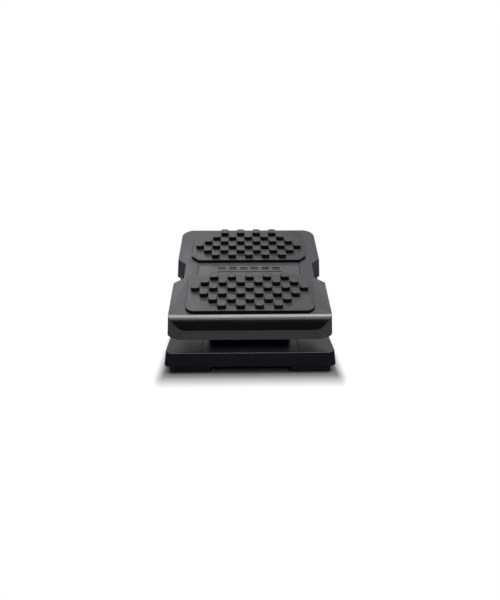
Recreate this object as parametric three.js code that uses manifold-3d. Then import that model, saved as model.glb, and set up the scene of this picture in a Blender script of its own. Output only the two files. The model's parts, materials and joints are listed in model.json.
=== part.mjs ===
// Sustain pedal: a rocking treadle with two studded rubber pads, on a low base that holds a momentary switch.
// Millimetres, +Z up, +Y from the heel end to the toe end, origin on the floor under the middle of the base.
import * as THREE from 'three';
import { mergeVertices } from 'three/addons/utils/BufferGeometryUtils.js';
import Module from 'manifold-3d';

const wasm = await Module();
wasm.setup();

// ---- Driving dimensions ----
const GLUE_GAP = 0.1; // between pieces that rest on each other in the level base
const FIT_GAP = 0.3; // between pieces that meet in the tilted treadle, and round screws and pegs
const OVERLAP = 0.5; // how far shapes that are joined into one piece run into each other
const FAR = 100; // past every face, for cutters
const ROUND_SIDES = 24; // sides of the polygons that stand for circles: shafts and bosses,
const MEDIUM_SIDES = 12; // screw heads and posts,
const SMALL_SIDES = 8; // and screw shanks, holes and wires

const BASE_WIDTH = 92.4; // across the rim at the bottom
const BASE_LENGTH = 94.6;
const BASE_DRAFT = 1; // each wall leans in by this much at the top
const BASE_BOTTOM = 4.9;
const BASE_TOP = 12.5;
const BASE_CORNER = 3.8;
const BASE_WALL = 2.2;
const BASE_ROOF = 3;

const PLATE_BOTTOM = 5.1; // steel plate that closes the base
const PLATE_THICKNESS = 1.5;
const PLATE_TOP = PLATE_BOTTOM + PLATE_THICKNESS;

const FOOT_SIZE = [22.7, 20];
const FOOT_INSET = [2.5, 3]; // from the rim's outer edge
const FOOT_CORNER = 2;
const FOOT_PEG = 2.5; // plugs into the plate
const FOOT_PEG_PROUD = 0.6;

const SCREW_SHANK = 1.3;
const SCREW_HEAD = 2.7;
const PLATE_SCREW_PLACES = [[14, -39], [39, 0], [14, 39]]; // on the right side, and mirrored to the left
const PLATE_SCREW_HEAD = 1.5;
const PEDESTAL_SCREW_PLACES = [[17.5, -15.5], [17.5, 31.5]];
const PEDESTAL_SCREW_HEAD = 1.8;
const PEDESTAL_SCREW_TOP = 21;
const BOSS_RADIUS = 3; // each plate screw's boss under the base's roof
const PAD_RADIUS = 6; // roof left standing round each pedestal screw

const FLANGE_WIDTH = 52; // the pedestal's flange lies in a channel in the base's top
const FLANGE_LENGTH = 90;
const FLANGE_THICKNESS = 1.4;
const FLANGE_CORNER = 1.3;
const SEAM = 0.2;
const WINDOW = { x: 21, front: -19, rear: 35 }; // opening from the base's cavity up into the pedestal

const PEDESTAL_WIDTH = 48;
const PEDESTAL_FRONT = -22;
const PEDESTAL_REAR = 38;
const PEDESTAL_TOP = 32;
const PEDESTAL_WALL = 2.4;
const PEDESTAL_CORNER = 4;
const SCREW_POST = { radius: 3.6, top: 26, halfWall: 1, wallLength: 4.5 };
const FINGER_SLOT = { halfX: 3, y: [5.2, 17] }; // in the pedestal's top, for the treadle's finger

const PIVOT_Y = -0.4;
const PIVOT_Z = 38.2;
const REST_TILT = THREE.MathUtils.degToRad(19.8);

const AXLE_RADIUS = 2.5;
const BUSH_RADIUS = 3.7;
const CHEEK_THICKNESS = 3.5;
const CHEEK_RADIUS = 4.8; // round top of each cheek, about the pivot
const CHEEK_FOOT = 10; // half length of a cheek where it stands on the pedestal
const BUSH_FLANGE = { radius: 4.6, thickness: 1 };

// The treadle, about its pivot axis: x across, y along the top face, z along that face's normal.
const TREADLE_TOP = 7.5;
const SKIRT_BOTTOM = -5.5;
const TREADLE_HALF_WIDTH = 44.9; // at the skirt's bottom edge, ahead of the notches
const REAR_NARROWING = 0.4; // how much nearer the middle the sides are behind the notches
const TREADLE_FRONT = -45.05;
const TREADLE_REAR = 46.8;
const FRONT_CORNER = [9.4, 5.4]; // half axes of the front corners, which are parts of ellipses
const REAR_CORNER = 7.5;
const TREADLE_TAPER = [0.966, 0.978]; // size at the top over size at the skirt's bottom edge
const TREADLE_WALL = 2.4;
const RIDGE_Y = -39; // crease where the top face turns into the front bevel
const BEVEL_END = [-44.5, 0.75];
const BEVEL_CONTROL = [-42.76, 6.6];
const NOTCH_DEPTH = 5.7;
const NOTCH_INNER = 7.2; // half length of the notch's deep edge
const NOTCH_OUTER = 11.9; // half length of its mouth

const PATTERN_CENTRE = 1; // middle of the two pads, ahead of the pivot
const PAD_HALF_WIDTH = 34.7;
const PAD_INNER = 7.3; // pad edges, from the middle of the pattern
const PAD_OUTER = 39.8;
const PAD_CHAMFER = 4.3;
const PAD_CORNER = 5;
const PAD_PROUD = 2;
const PAD_POCKET = 0.9;
const STUD_SIZE = 4.6;
const STUD_HEIGHT = 2.7;
const STUD_CORNER = 1.1;
const STUD_PITCH = 5.03;
const STUD_FIRST_ROW = 11.13; // nearest row to the middle of the pattern
const STUD_ROWS = [5, 6, 7, 6, 5, 4];

const NAME_PLATE_SIZE = [60.2, 10.7];
const NAME_PLATE_CENTRE = 0.4;
const NAME_PLATE_THICKNESS = 0.8;
const NAME_PLATE_POCKET = 1.2;
const NAME_PLATE_CORNER = 1;

// The axle's groove and end, past the floor of the notch
const AXLE = { head: 3.9, headThickness: 1.4, groove: [0.3, 1.1], grooveRadius: 1.9, proud: 1.8 };
const CLIP_MOUTH = 1.4; // half width of the gap in the clip
const HEEL_STOP = { y: -15.6, bottom: 2.4 }; // posts that meet the bumpers
const TOE_STOP = { y: 32.26, bottom: -3.75 };
const STOP_RADIUS = 4;
const RIB = { x: 31, halfThickness: 0.8, bottom: 1.5 };
const RIB_RUNS = { alongY: [-41, 43], crossX: [-40, 40], crossY: [-30, 39.5] };

const SPRING_Y = 25.2;
const SPRING_RADIUS = 4.9;
const SPRING_WIRE = 1.2;
const SPRING_TURNS = 6;
const SPRING_TOP = 49.2;
const SPRING_CUP_Y = 27.5; // in the treadle
const SPRING_CUP_TILT = THREE.MathUtils.degToRad(-13.8); // upright halfway through the travel
const SPRING_CUP_FLOOR = 3.4;
const SPRING_CUP = { outer: 7.3, inner: 6.2, spigot: 3.6, lip: 1.6, height: 12 };
const SPRING_SEAT = { radius: 3.8, height: 1.6 }; // boss inside the spring's lower end

const BUMPER_X = 14;
const HEEL_BUMPER_Y = -16;
const TOE_BUMPER_Y = 32;
const TOE_POST_TOP = 36;
const TOE_POST_RADIUS = 4.6;
const BUMPER_DOME = 5; // radius of the domed rubber head
const BUMPER_HEAD = 2.4;
const BUMPER_STEM = 2;
const BUMPER_STEM_LENGTH = 5;

const SWITCH_SIZE = [6.4, 19.8, 10.2];
const SWITCH_FRONT = 0;
const SWITCH_TOP = 22.4;
const LEVER_HINGE = [1.5, 22.9];
const LEVER_LENGTH = 15;
const LEVER_THICKNESS = 0.5;
const LEVER_ANGLE = THREE.MathUtils.degToRad(17.1);
const BUTTON_Y = 5.5;
const BUTTON_TOP = 23.55;
const BUTTON_HALF = [1.3, 0.8];
const SWITCH_RIB_THICKNESS = 1.9; // wall of the pedestal that the switch is screwed to
const SWITCH_SCREW_PLACES = [[5.1, 15], [14.6, 15]]; // y and z
const SWITCH_SCREW_RADIUS = 1.1;
const SWITCH_SCREW_HEAD = { radius: 2, height: 1.4 };
const TERMINAL_PLACES = [1.6, 10, 18.4];
const TERMINAL = { halfWidth: 1.6, halfThickness: 0.3, length: 4 };
const FINGER_TIP = [13.2, 28.65]; // centre of the finger's round tip, at rest
const FINGER_RADIUS = 1.5;
const FINGER_WIDTH = 4;
const ACTUATOR_FLANGE = { halfX: 5, front: 7.5, rear: 4.5, thickness: 2 }; // about the finger's centre
const ACTUATOR_SCREW = { x: 3.2, ahead: 4.6, radius: 0.9, headRadius: 1.7, headHeight: 1.2 };
const WEB_HALF = 0.8;

const GLAND_Z = 21;
const GLAND_X = -7;
const GLAND_BORE = 3;
const GLAND_THREAD = 4.4;
const GLAND_COLLAR = { radius: 6, rim: 1.6, noseRadius: 5, length: 4.2 };
const GLAND_NUT = { radius: 6.6, thickness: 2.3 };
const SELECTOR_X = 8.6;
const SELECTOR_Z = 21;
const SELECTOR_TRAVEL = 2.5;
const SELECTOR_BODY = { halfX: 4.6, halfZ: 2.6, depth: 5 };
const SELECTOR_TRACK = { halfX: 2.9, halfZ: 1.3 };
const SELECTOR_PIN = { pitch: 2.5, halfX: 0.3, halfZ: 0.8, length: 3 };
const SLIDER = { halfX: 1.3, halfZ: 1, depth: 2.1, knobHalfX: 0.9, knobProud: 1.4 };
const WIRE_RADIUS = 0.6;

// ---- Materials ----
function finish(color, roughness, metalness = 0) {
  return new THREE.MeshStandardMaterial({ color, roughness, metalness });
}

const MATERIALS = {
  treadle: finish(0x2b2b2d, 0.5),
  base: finish(0x18181b, 0.42),
  rubber: finish(0x242425, 0.8),
  foot: finish(0x141415, 0.85),
  namePlate: finish(0x3a3a3d, 0.45),
  paintedSteel: finish(0x1d1d1f, 0.5, 0.3),
  steel: finish(0xb4b5b8, 0.3, 1),
  nylon: finish(0xe6e4da, 0.5),
  switchBody: finish(0x1b1a1a, 0.4),
  brass: finish(0xc9a557, 0.35, 1),
  redButton: finish(0xa8221c, 0.45),
  redWire: finish(0xa01f1b, 0.5),
  whiteWire: finish(0xdedcd4, 0.5),
};

// ---- Solids ----
/** A closed mesh as a solid that can be joined and cut. */
function solid(geometry) {
  const bare = geometry.index ? geometry.toNonIndexed() : geometry;
  bare.deleteAttribute('normal');
  bare.deleteAttribute('uv');
  const merged = mergeVertices(bare, 1e-4);
  return new wasm.Manifold(new wasm.Mesh({
    numProp: 3,
    vertProperties: new Float32Array(merged.attributes.position.array),
    triVerts: new Uint32Array(merged.index.array),
  }));
}

function geometryOf(body) {
  const { vertProperties, triVerts } = body.getMesh();
  const geometry = new THREE.BufferGeometry();
  geometry.setAttribute('position', new THREE.BufferAttribute(new Float32Array(vertProperties), 3));
  geometry.setIndex(new THREE.BufferAttribute(new Uint32Array(triVerts), 1));
  geometry.computeVertexNormals();
  return geometry;
}

const joined = (bodies) => bodies.reduce((sum, body) => sum.add(body));
const cut = (body, cutters) => cutters.reduce((rest, cutter) => rest.subtract(cutter), body);

/** The range between two distances from the middle, on the side given by -1 or 1. */
const mirroredRange = (side, near, far) => (side > 0 ? [near, far] : [-far, -near]);

function block([x0, x1], [y0, y1], [z0, z1]) {
  const geometry = new THREE.BoxGeometry(x1 - x0, y1 - y0, z1 - z0);
  return solid(geometry.translate((x0 + x1) / 2, (y0 + y1) / 2, (z0 + z1) / 2));
}

/** A flat outline pulled up from z0 to z1. */
function prismZ(shape, z0, z1, curveSegments = 6) {
  const geometry = new THREE.ExtrudeGeometry(shape, { depth: z1 - z0, bevelEnabled: false, curveSegments });
  return geometry.translate(0, 0, z0);
}

const polygon = (points) => new THREE.Shape(points.map(([x, y]) => new THREE.Vector2(x, y)));

/** A shape drawn in y and z, pulled along x from x0 to x1. */
function prismX(shape, x0, x1, curveSegments = 8) {
  const turn = new THREE.Matrix4().makeBasis(
    new THREE.Vector3(0, 1, 0),
    new THREE.Vector3(0, 0, 1),
    new THREE.Vector3(1, 0, 0),
  );
  return solid(prismZ(shape, x0, x1, curveSegments).applyMatrix4(turn));
}

const QUARTER = Math.PI / 2;

function cylinderZ(radius, z0, z1, [x, y] = [0, 0], sides = ROUND_SIDES) {
  const geometry = new THREE.CylinderGeometry(radius, radius, z1 - z0, sides).rotateX(QUARTER);
  return solid(geometry.translate(x, y, (z0 + z1) / 2));
}

function cylinderX(radius, x0, x1, [y, z] = [0, 0], sides = ROUND_SIDES) {
  const geometry = new THREE.CylinderGeometry(radius, radius, x1 - x0, sides).rotateZ(QUARTER);
  return solid(geometry.translate((x0 + x1) / 2, y, z));
}

function cylinderY(radius, y0, y1, [x, z] = [0, 0], sides = ROUND_SIDES) {
  const geometry = new THREE.CylinderGeometry(radius, radius, y1 - y0, sides);
  return solid(geometry.translate(x, (y0 + y1) / 2, z));
}

/** A profile of [radius, z] points turned about the Z axis. */
function turned(profile, sides = ROUND_SIDES) {
  const points = profile.map(([radius, z]) => new THREE.Vector2(radius, z));
  return new THREE.LatheGeometry(points, sides).rotateX(QUARTER);
}

/** Shrinks a geometry's outline steadily from z0 to z1, to the given shares of its size. */
function taper(geometry, z0, z1, [shareX, shareY]) {
  const position = geometry.attributes.position;
  for (let i = 0; i < position.count; i += 1) {
    const rise = (position.getZ(i) - z0) / (z1 - z0);
    position.setX(i, position.getX(i) * (1 + (shareX - 1) * rise));
    position.setY(i, position.getY(i) * (1 + (shareY - 1) * rise));
  }
  return geometry;
}

function roundedRectangle([width, length], radius, [x, y] = [0, 0]) {
  const [right, rear] = [x + width / 2, y + length / 2];
  const [left, front] = [x - width / 2, y - length / 2];
  const shape = new THREE.Shape();
  shape.absarc(right - radius, rear - radius, radius, 0, QUARTER, false);
  shape.absarc(left + radius, rear - radius, radius, QUARTER, 2 * QUARTER, false);
  shape.absarc(left + radius, front + radius, radius, 2 * QUARTER, 3 * QUARTER, false);
  shape.absarc(right - radius, front + radius, radius, 3 * QUARTER, 4 * QUARTER, false);
  shape.closePath();
  return shape;
}

// ---- Scene graph ----
const pedal = new THREE.Group();
const treadle = new THREE.Group();
treadle.position.set(0, PIVOT_Y, PIVOT_Z);
treadle.rotation.x = REST_TILT;
pedal.add(treadle);

function place(group, name, body, material) {
  const geometry = body instanceof THREE.BufferGeometry ? body : geometryOf(body);
  const mesh = new THREE.Mesh(geometry, material);
  mesh.name = name;
  group.add(mesh);
}

const LEFT_RIGHT = [['left', -1], ['right', 1]];
const FRONT_REAR = [['front', -1], ['rear', 1]];

// ---- Base ----
const BASE_SHARE = [1 - (2 * BASE_DRAFT) / BASE_WIDTH, 1 - (2 * BASE_DRAFT) / BASE_LENGTH];
const CAVITY = [BASE_WIDTH - 2 * BASE_WALL, BASE_LENGTH - 2 * BASE_WALL];
const CAVITY_TOP = BASE_TOP - BASE_ROOF;
const FLANGE_BOTTOM = BASE_TOP - FLANGE_THICKNESS;
const onBothSides = (places) => [-1, 1].flatMap((side) => places.map(([x, y]) => [side * x, y]));
const PLATE_SCREWS = onBothSides(PLATE_SCREW_PLACES);
const PEDESTAL_SCREWS = onBothSides(PEDESTAL_SCREW_PLACES);
const SCREW_HOLE = SCREW_SHANK + FIT_GAP;
const FOOT_CENTRES = LEFT_RIGHT.flatMap(([sideName, side]) => FRONT_REAR.map(([endName, end]) => [
  `${endName}_${sideName}_foot`,
  side * (BASE_WIDTH / 2 - FOOT_INSET[0] - FOOT_SIZE[0] / 2),
  end * (BASE_LENGTH / 2 - FOOT_INSET[1] - FOOT_SIZE[1] / 2),
]));

function baseShell() {
  const outside = solid(taper(
    prismZ(roundedRectangle([BASE_WIDTH, BASE_LENGTH], BASE_CORNER), BASE_BOTTOM, BASE_TOP),
    BASE_BOTTOM,
    BASE_TOP,
    BASE_SHARE,
  ));
  const cavity = solid(prismZ(roundedRectangle(CAVITY, BASE_CORNER - BASE_WALL), 0, CAVITY_TOP));
  const channelSize = [FLANGE_WIDTH + 2 * SEAM, FLANGE_LENGTH + 2 * SEAM];
  const channelOutline = roundedRectangle(channelSize, FLANGE_CORNER + SEAM);
  const channel = solid(prismZ(channelOutline, FLANGE_BOTTOM - GLUE_GAP, FAR, 3));
  const bosses = PLATE_SCREWS.map((at) => (
    cylinderZ(BOSS_RADIUS, PLATE_TOP + GLUE_GAP, CAVITY_TOP + OVERLAP, at, MEDIUM_SIDES)
  ));
  const bossHoles = PLATE_SCREWS.map((at) => cylinderZ(SCREW_HOLE, 0, CAVITY_TOP, at, SMALL_SIDES));
  const roofHoles = PEDESTAL_SCREWS.map((at) => cylinderZ(SCREW_HOLE, 0, FAR, at, SMALL_SIDES));
  const pads = PEDESTAL_SCREWS.map((at) => cylinderZ(PAD_RADIUS, -1, FAR + 1, at, MEDIUM_SIDES));
  const window = cut(block([-WINDOW.x, WINDOW.x], [WINDOW.front, WINDOW.rear], [0, FAR]), pads);
  const hollow = cut(outside, [cavity, channel, window]);
  return cut(joined([hollow, ...bosses]), [...bossHoles, ...roofHoles]);
}

function bottomPlate() {
  const size = CAVITY.map((side) => side - 2 * FIT_GAP);
  const sheet = solid(prismZ(roundedRectangle(size, BASE_CORNER - BASE_WALL), PLATE_BOTTOM, PLATE_TOP));
  const screwHoles = PLATE_SCREWS.map((at) => cylinderZ(SCREW_HOLE, 0, FAR, at, SMALL_SIDES));
  const pegHoles = FOOT_CENTRES.map(([, ...at]) => cylinderZ(FOOT_PEG + FIT_GAP, 0, FAR, at, MEDIUM_SIDES));
  return cut(sheet, [...screwHoles, ...pegHoles]);
}

function foot(x, y) {
  const pad = solid(prismZ(roundedRectangle(FOOT_SIZE, FOOT_CORNER, [x, y]), 0, PLATE_BOTTOM - GLUE_GAP, 4));
  const pegBottom = PLATE_BOTTOM - GLUE_GAP - OVERLAP;
  const peg = cylinderZ(FOOT_PEG, pegBottom, PLATE_TOP + FOOT_PEG_PROUD, [x, y], MEDIUM_SIDES);
  return pad.add(peg);
}

/** A pan-head screw that points up. */
function upwardScrew(at, headTop, shankTop, headHeight) {
  const head = cylinderZ(SCREW_HEAD, headTop - headHeight, headTop, at, MEDIUM_SIDES);
  return head.add(cylinderZ(SCREW_SHANK, headTop - OVERLAP, shankTop, at, SMALL_SIDES));
}

place(pedal, 'base_shell', baseShell(), MATERIALS.base);
place(pedal, 'bottom_plate', bottomPlate(), MATERIALS.paintedSteel);
FOOT_CENTRES.forEach(([name, x, y]) => place(pedal, name, foot(x, y), MATERIALS.foot));
PLATE_SCREWS.forEach((at, i) => {
  const screw = upwardScrew(at, PLATE_BOTTOM - GLUE_GAP, CAVITY_TOP - FIT_GAP, PLATE_SCREW_HEAD);
  place(pedal, `bottom_plate_screw_${i + 1}`, screw, MATERIALS.steel);
});

// ---- Pedestal ----
const CHEEK_OUTER = PEDESTAL_WIDTH / 2;
const CHEEK_INNER = CHEEK_OUTER - CHEEK_THICKNESS;
const SWITCH_HALF = SWITCH_SIZE[0] / 2;
const SWITCH_RIB_INNER = SWITCH_HALF + GLUE_GAP;
const SWITCH_RIB_OUTER = SWITCH_RIB_INNER + SWITCH_RIB_THICKNESS;
const SWITCH_BOTTOM = SWITCH_TOP - SWITCH_SIZE[2];
const SWITCH_SCREW_HOLE = SWITCH_SCREW_RADIUS + FIT_GAP;
const BUMPERS = LEFT_RIGHT.flatMap(([sideName, side]) => [
  [`heel_bumper_${sideName}`, side * BUMPER_X, HEEL_BUMPER_Y, PEDESTAL_TOP],
  [`toe_bumper_${sideName}`, side * BUMPER_X, TOE_BUMPER_Y, TOE_POST_TOP],
]);

/** Outline in y and z of a cheek that carries one bush: straight flanks up to a round top about the pivot. */
function cheekOutline() {
  const foot = PEDESTAL_TOP - OVERLAP;
  const rise = PIVOT_Z - foot;
  const reach = Math.hypot(CHEEK_FOOT, rise);
  const lean = Math.acos(CHEEK_RADIUS / reach) - Math.atan2(rise, CHEEK_FOOT);
  const shape = new THREE.Shape();
  shape.moveTo(PIVOT_Y - CHEEK_FOOT, foot);
  shape.lineTo(PIVOT_Y + CHEEK_FOOT, foot);
  shape.absarc(PIVOT_Y, PIVOT_Z, CHEEK_RADIUS, lean, Math.PI - lean, false);
  shape.closePath();
  return shape;
}

/** The pedestal's box from z0 to z1, pulled in all round by shrink. */
function tower(shrink, z0, z1) {
  const size = [PEDESTAL_WIDTH, PEDESTAL_REAR - PEDESTAL_FRONT].map((side) => side - 2 * shrink);
  const centre = [0, (PEDESTAL_REAR + PEDESTAL_FRONT) / 2];
  return solid(prismZ(roundedRectangle(size, PEDESTAL_CORNER - shrink, centre), z0, z1));
}

/** A block centred on x and on the selector's height. */
function selectorBlock(x, halfX, y, halfZ) {
  return block([x - halfX, x + halfX], y, [SELECTOR_Z - halfZ, SELECTOR_Z + halfZ]);
}

/** What stands on the pedestal's flange and hangs from its top: cheeks, posts, rib and seat. */
function pedestalFittings() {
  const cheeks = [-1, 1].map((side) => {
    const [near, far] = mirroredRange(side, CHEEK_INNER, CHEEK_OUTER);
    return prismX(cheekOutline(), near, far);
  });
  const screwPosts = PEDESTAL_SCREWS.flatMap(([x, y]) => {
    const side = Math.sign(x);
    const wallX = mirroredRange(side, Math.abs(x), Math.abs(x) + SCREW_POST.wallLength);
    const wallY = [y - SCREW_POST.halfWall, y + SCREW_POST.halfWall];
    return [
      cylinderZ(SCREW_POST.radius, FLANGE_BOTTOM, SCREW_POST.top, [x, y], MEDIUM_SIDES),
      block(wallX, wallY, [FLANGE_BOTTOM, SCREW_POST.top]),
    ];
  });
  const switchRib = block(
    [SWITCH_RIB_INNER, SWITCH_RIB_OUTER],
    [SWITCH_FRONT + 1, SWITCH_FRONT + SWITCH_SIZE[1] - 1],
    [SWITCH_BOTTOM + OVERLAP, PEDESTAL_TOP - OVERLAP],
  );
  const seatTop = PEDESTAL_TOP + SPRING_SEAT.height;
  const seat = cylinderZ(SPRING_SEAT.radius, PEDESTAL_TOP - OVERLAP, seatTop, [0, SPRING_Y], MEDIUM_SIDES);
  return [...cheeks, ...screwPosts, switchRib, seat];
}

function pedestalHoles() {
  const underTop = PEDESTAL_TOP - PEDESTAL_WALL - OVERLAP;
  const insideRear = PEDESTAL_REAR - PEDESTAL_WALL - OVERLAP;
  const ribFar = 2 * SWITCH_RIB_OUTER;
  const slotX = [-FINGER_SLOT.halfX, FINGER_SLOT.halfX];
  return [
    cylinderX(BUSH_RADIUS + GLUE_GAP / 2, -FAR, FAR, [PIVOT_Y, PIVOT_Z]),
    cylinderY(GLAND_THREAD + FIT_GAP, insideRear, FAR, [GLAND_X, GLAND_Z]),
    block(slotX, FINGER_SLOT.y, [underTop, FAR]),
    selectorBlock(SELECTOR_X, SELECTOR_TRACK.halfX, [insideRear, FAR], SELECTOR_TRACK.halfZ),
    ...BUMPERS.map(([, x, y]) => cylinderZ(BUMPER_STEM + FIT_GAP, underTop, FAR, [x, y], SMALL_SIDES)),
    ...PEDESTAL_SCREWS.map((at) => cylinderZ(SCREW_HOLE, 0, PEDESTAL_SCREW_TOP + 1, at, SMALL_SIDES)),
    ...SWITCH_SCREW_PLACES.map((at) => cylinderX(SWITCH_SCREW_HOLE, 0, ribFar, at, SMALL_SIDES)),
  ];
}

function pedestal() {
  const flangeOutline = roundedRectangle([FLANGE_WIDTH, FLANGE_LENGTH], FLANGE_CORNER);
  const flange = solid(prismZ(flangeOutline, FLANGE_BOTTOM, BASE_TOP, 3));
  const toePosts = [-1, 1].map((side) => (
    cylinderZ(TOE_POST_RADIUS, PEDESTAL_TOP - OVERLAP, TOE_POST_TOP, [side * BUMPER_X, TOE_BUMPER_Y])
  ));
  const outside = joined([flange, tower(0, FLANGE_BOTTOM, PEDESTAL_TOP), ...toePosts]);
  const shell = outside.subtract(tower(PEDESTAL_WALL, 0, PEDESTAL_TOP - PEDESTAL_WALL));
  return cut(joined([shell, ...pedestalFittings()]), pedestalHoles());
}

function bush(side) {
  const { radius, thickness } = BUSH_FLANGE;
  const sleeve = cylinderX(BUSH_RADIUS, CHEEK_INNER, CHEEK_OUTER + thickness);
  const flange = cylinderX(radius, CHEEK_OUTER + GLUE_GAP, CHEEK_OUTER + GLUE_GAP + thickness);
  const bore = cylinderX(AXLE_RADIUS + GLUE_GAP / 2, 0, FAR);
  return sleeve.add(flange).subtract(bore).scale([side, 1, 1]).translate([0, PIVOT_Y, PIVOT_Z]);
}

/** Domed rubber bumper whose stem plugs into a hole at (x, y). */
function bumper(x, y, seat) {
  const rim = Math.sqrt(BUMPER_DOME ** 2 - (BUMPER_DOME - BUMPER_HEAD) ** 2);
  const dome = new THREE.Path();
  const rimAngle = Math.atan2(BUMPER_DOME - BUMPER_HEAD, rim);
  dome.absarc(0, BUMPER_HEAD - BUMPER_DOME, BUMPER_DOME, rimAngle, QUARTER, false);
  const top = dome.getPoints(3).slice(0, -1).map((point) => [point.x, point.y]);
  const stem = [[0, -BUMPER_STEM_LENGTH], [BUMPER_STEM, -BUMPER_STEM_LENGTH], [BUMPER_STEM, 0]];
  return solid(turned([...stem, ...top, [0, BUMPER_HEAD]], MEDIUM_SIDES)).translate([x, y, seat + GLUE_GAP]);
}

place(pedal, 'pedestal', pedestal(), MATERIALS.base);
PEDESTAL_SCREWS.forEach((at, i) => {
  const screw = upwardScrew(at, CAVITY_TOP - GLUE_GAP, PEDESTAL_SCREW_TOP, PEDESTAL_SCREW_HEAD);
  place(pedal, `pedestal_screw_${i + 1}`, screw, MATERIALS.steel);
});
LEFT_RIGHT.forEach(([name, side]) => place(pedal, `${name}_bush`, bush(side), MATERIALS.nylon));
BUMPERS.forEach(([name, x, y, seat]) => place(pedal, name, bumper(x, y, seat), MATERIALS.foot));

// ---- Return spring ----
class Helix extends THREE.Curve {
  constructor(radius, bottom, top, turns) {
    super();
    Object.assign(this, { radius, bottom, top, turns });
  }

  /** The end turns lie flat, and the turns between them climb. */
  getPoint(t, target = new THREE.Vector3()) {
    const angle = 2 * Math.PI * this.turns * t;
    const flat = 0.9 / this.turns;
    const climb = THREE.MathUtils.clamp((t - flat) / (1 - 2 * flat), 0, 1);
    const wind = SPRING_WIRE * (Math.min(t / flat, 1) + Math.max((t - 1 + flat) / flat, 0));
    const height = this.bottom + wind + (this.top - this.bottom - 2 * SPRING_WIRE) * climb;
    return target.set(this.radius * Math.cos(angle), this.radius * Math.sin(angle), height);
  }
}

function circleShape(radius, sides) {
  const corners = Array.from({ length: sides }, (_, i) => {
    const angle = (2 * Math.PI * i) / sides;
    return new THREE.Vector2(radius * Math.cos(angle), radius * Math.sin(angle));
  });
  return new THREE.Shape(corners);
}

function tube(path, radius, steps) {
  const section = circleShape(radius, SMALL_SIDES);
  return new THREE.ExtrudeGeometry(section, { steps, extrudePath: path, bevelEnabled: false });
}

const SPRING_BOTTOM = PEDESTAL_TOP + GLUE_GAP;
const springPath = new Helix(
  SPRING_RADIUS,
  SPRING_BOTTOM + SPRING_WIRE / 2,
  SPRING_TOP - SPRING_WIRE / 2,
  SPRING_TURNS,
);
const SPRING_STEPS = 10; // in each turn
const spring = tube(springPath, SPRING_WIRE / 2, SPRING_TURNS * SPRING_STEPS).translate(0, SPRING_Y, 0);
place(pedal, 'return_spring', spring, MATERIALS.steel);

// ---- Momentary switch ----
const TERMINAL_NAMES = ['common', 'normally_open', 'normally_closed'];

function switchBody() {
  const housing = block(
    [-SWITCH_HALF, SWITCH_HALF],
    [SWITCH_FRONT, SWITCH_FRONT + SWITCH_SIZE[1]],
    [SWITCH_BOTTOM, SWITCH_TOP],
  );
  const [halfX, halfY] = BUTTON_HALF.map((half) => half + 2 * GLUE_GAP);
  const pocket = block([-halfX, halfX], [BUTTON_Y - halfY, BUTTON_Y + halfY], [SWITCH_TOP - 4, FAR]);
  const screwHoles = SWITCH_SCREW_PLACES.map((at) => (
    cylinderX(SWITCH_SCREW_HOLE, -SWITCH_HALF - 1, SWITCH_HALF + 1, at, SMALL_SIDES)
  ));
  return cut(housing, [pocket, ...screwHoles]);
}

function switchLever() {
  const blade = block([-2, 2], [0, LEVER_LENGTH], [-LEVER_THICKNESS / 2, LEVER_THICKNESS / 2]);
  return blade.rotate([THREE.MathUtils.radToDeg(LEVER_ANGLE), 0, 0]).translate([0, ...LEVER_HINGE]);
}

function switchButton() {
  const [halfX, halfY] = BUTTON_HALF;
  return block([-halfX, halfX], [BUTTON_Y - halfY, BUTTON_Y + halfY], [SWITCH_TOP - 2.6, BUTTON_TOP]);
}

function switchTerminal(y) {
  const { halfWidth, halfThickness, length } = TERMINAL;
  return block(
    [-halfWidth, halfWidth],
    [y - halfThickness, y + halfThickness],
    [SWITCH_BOTTOM - length, SWITCH_BOTTOM - GLUE_GAP],
  );
}

/** Screw along +X, with its head on the switch's left side. */
function switchScrew(at) {
  const { radius, height } = SWITCH_SCREW_HEAD;
  const seat = -SWITCH_HALF - GLUE_GAP;
  const head = cylinderX(radius, seat - height, seat, at, MEDIUM_SIDES);
  const shank = cylinderX(SWITCH_SCREW_RADIUS, seat - OVERLAP, SWITCH_RIB_OUTER + OVERLAP, at, SMALL_SIDES);
  return head.add(shank);
}

place(pedal, 'switch_body', switchBody(), MATERIALS.switchBody);
TERMINAL_NAMES.forEach((name, i) => {
  place(pedal, `switch_terminal_${name}`, switchTerminal(TERMINAL_PLACES[i]), MATERIALS.brass);
});
SWITCH_SCREW_PLACES.forEach((at, i) => {
  place(pedal, `switch_screw_${i + 1}`, switchScrew(at), MATERIALS.steel);
});
place(pedal, 'switch_lever', switchLever(), MATERIALS.steel);
place(pedal, 'switch_button', switchButton(), MATERIALS.redButton);

// ---- Rear wall: cable gland and polarity selector ----
const REAR_INNER = PEDESTAL_REAR - PEDESTAL_WALL;
const SELECTOR_REAR = REAR_INNER - GLUE_GAP;
const SELECTOR_FRONT = SELECTOR_REAR - SELECTOR_BODY.depth;
const SELECTOR_PINS = [-1, 0, 1].map((step) => SELECTOR_X + step * SELECTOR_PIN.pitch);

function cableGland() {
  const { radius, rim, noseRadius, length } = GLAND_COLLAR;
  const collar = solid(turned([[0, 0], [radius, 0], [radius, rim], [noseRadius, length], [0, length]]));
  const neckLength = PEDESTAL_WALL + GLAND_NUT.thickness + 1;
  const neck = cylinderZ(GLAND_THREAD, -neckLength, OVERLAP);
  const gland = collar.add(neck).subtract(cylinderZ(GLAND_BORE, -FAR, FAR)).rotate([-90, 0, 0]);
  return gland.translate([GLAND_X, PEDESTAL_REAR + GLUE_GAP, GLAND_Z]);
}

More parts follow.
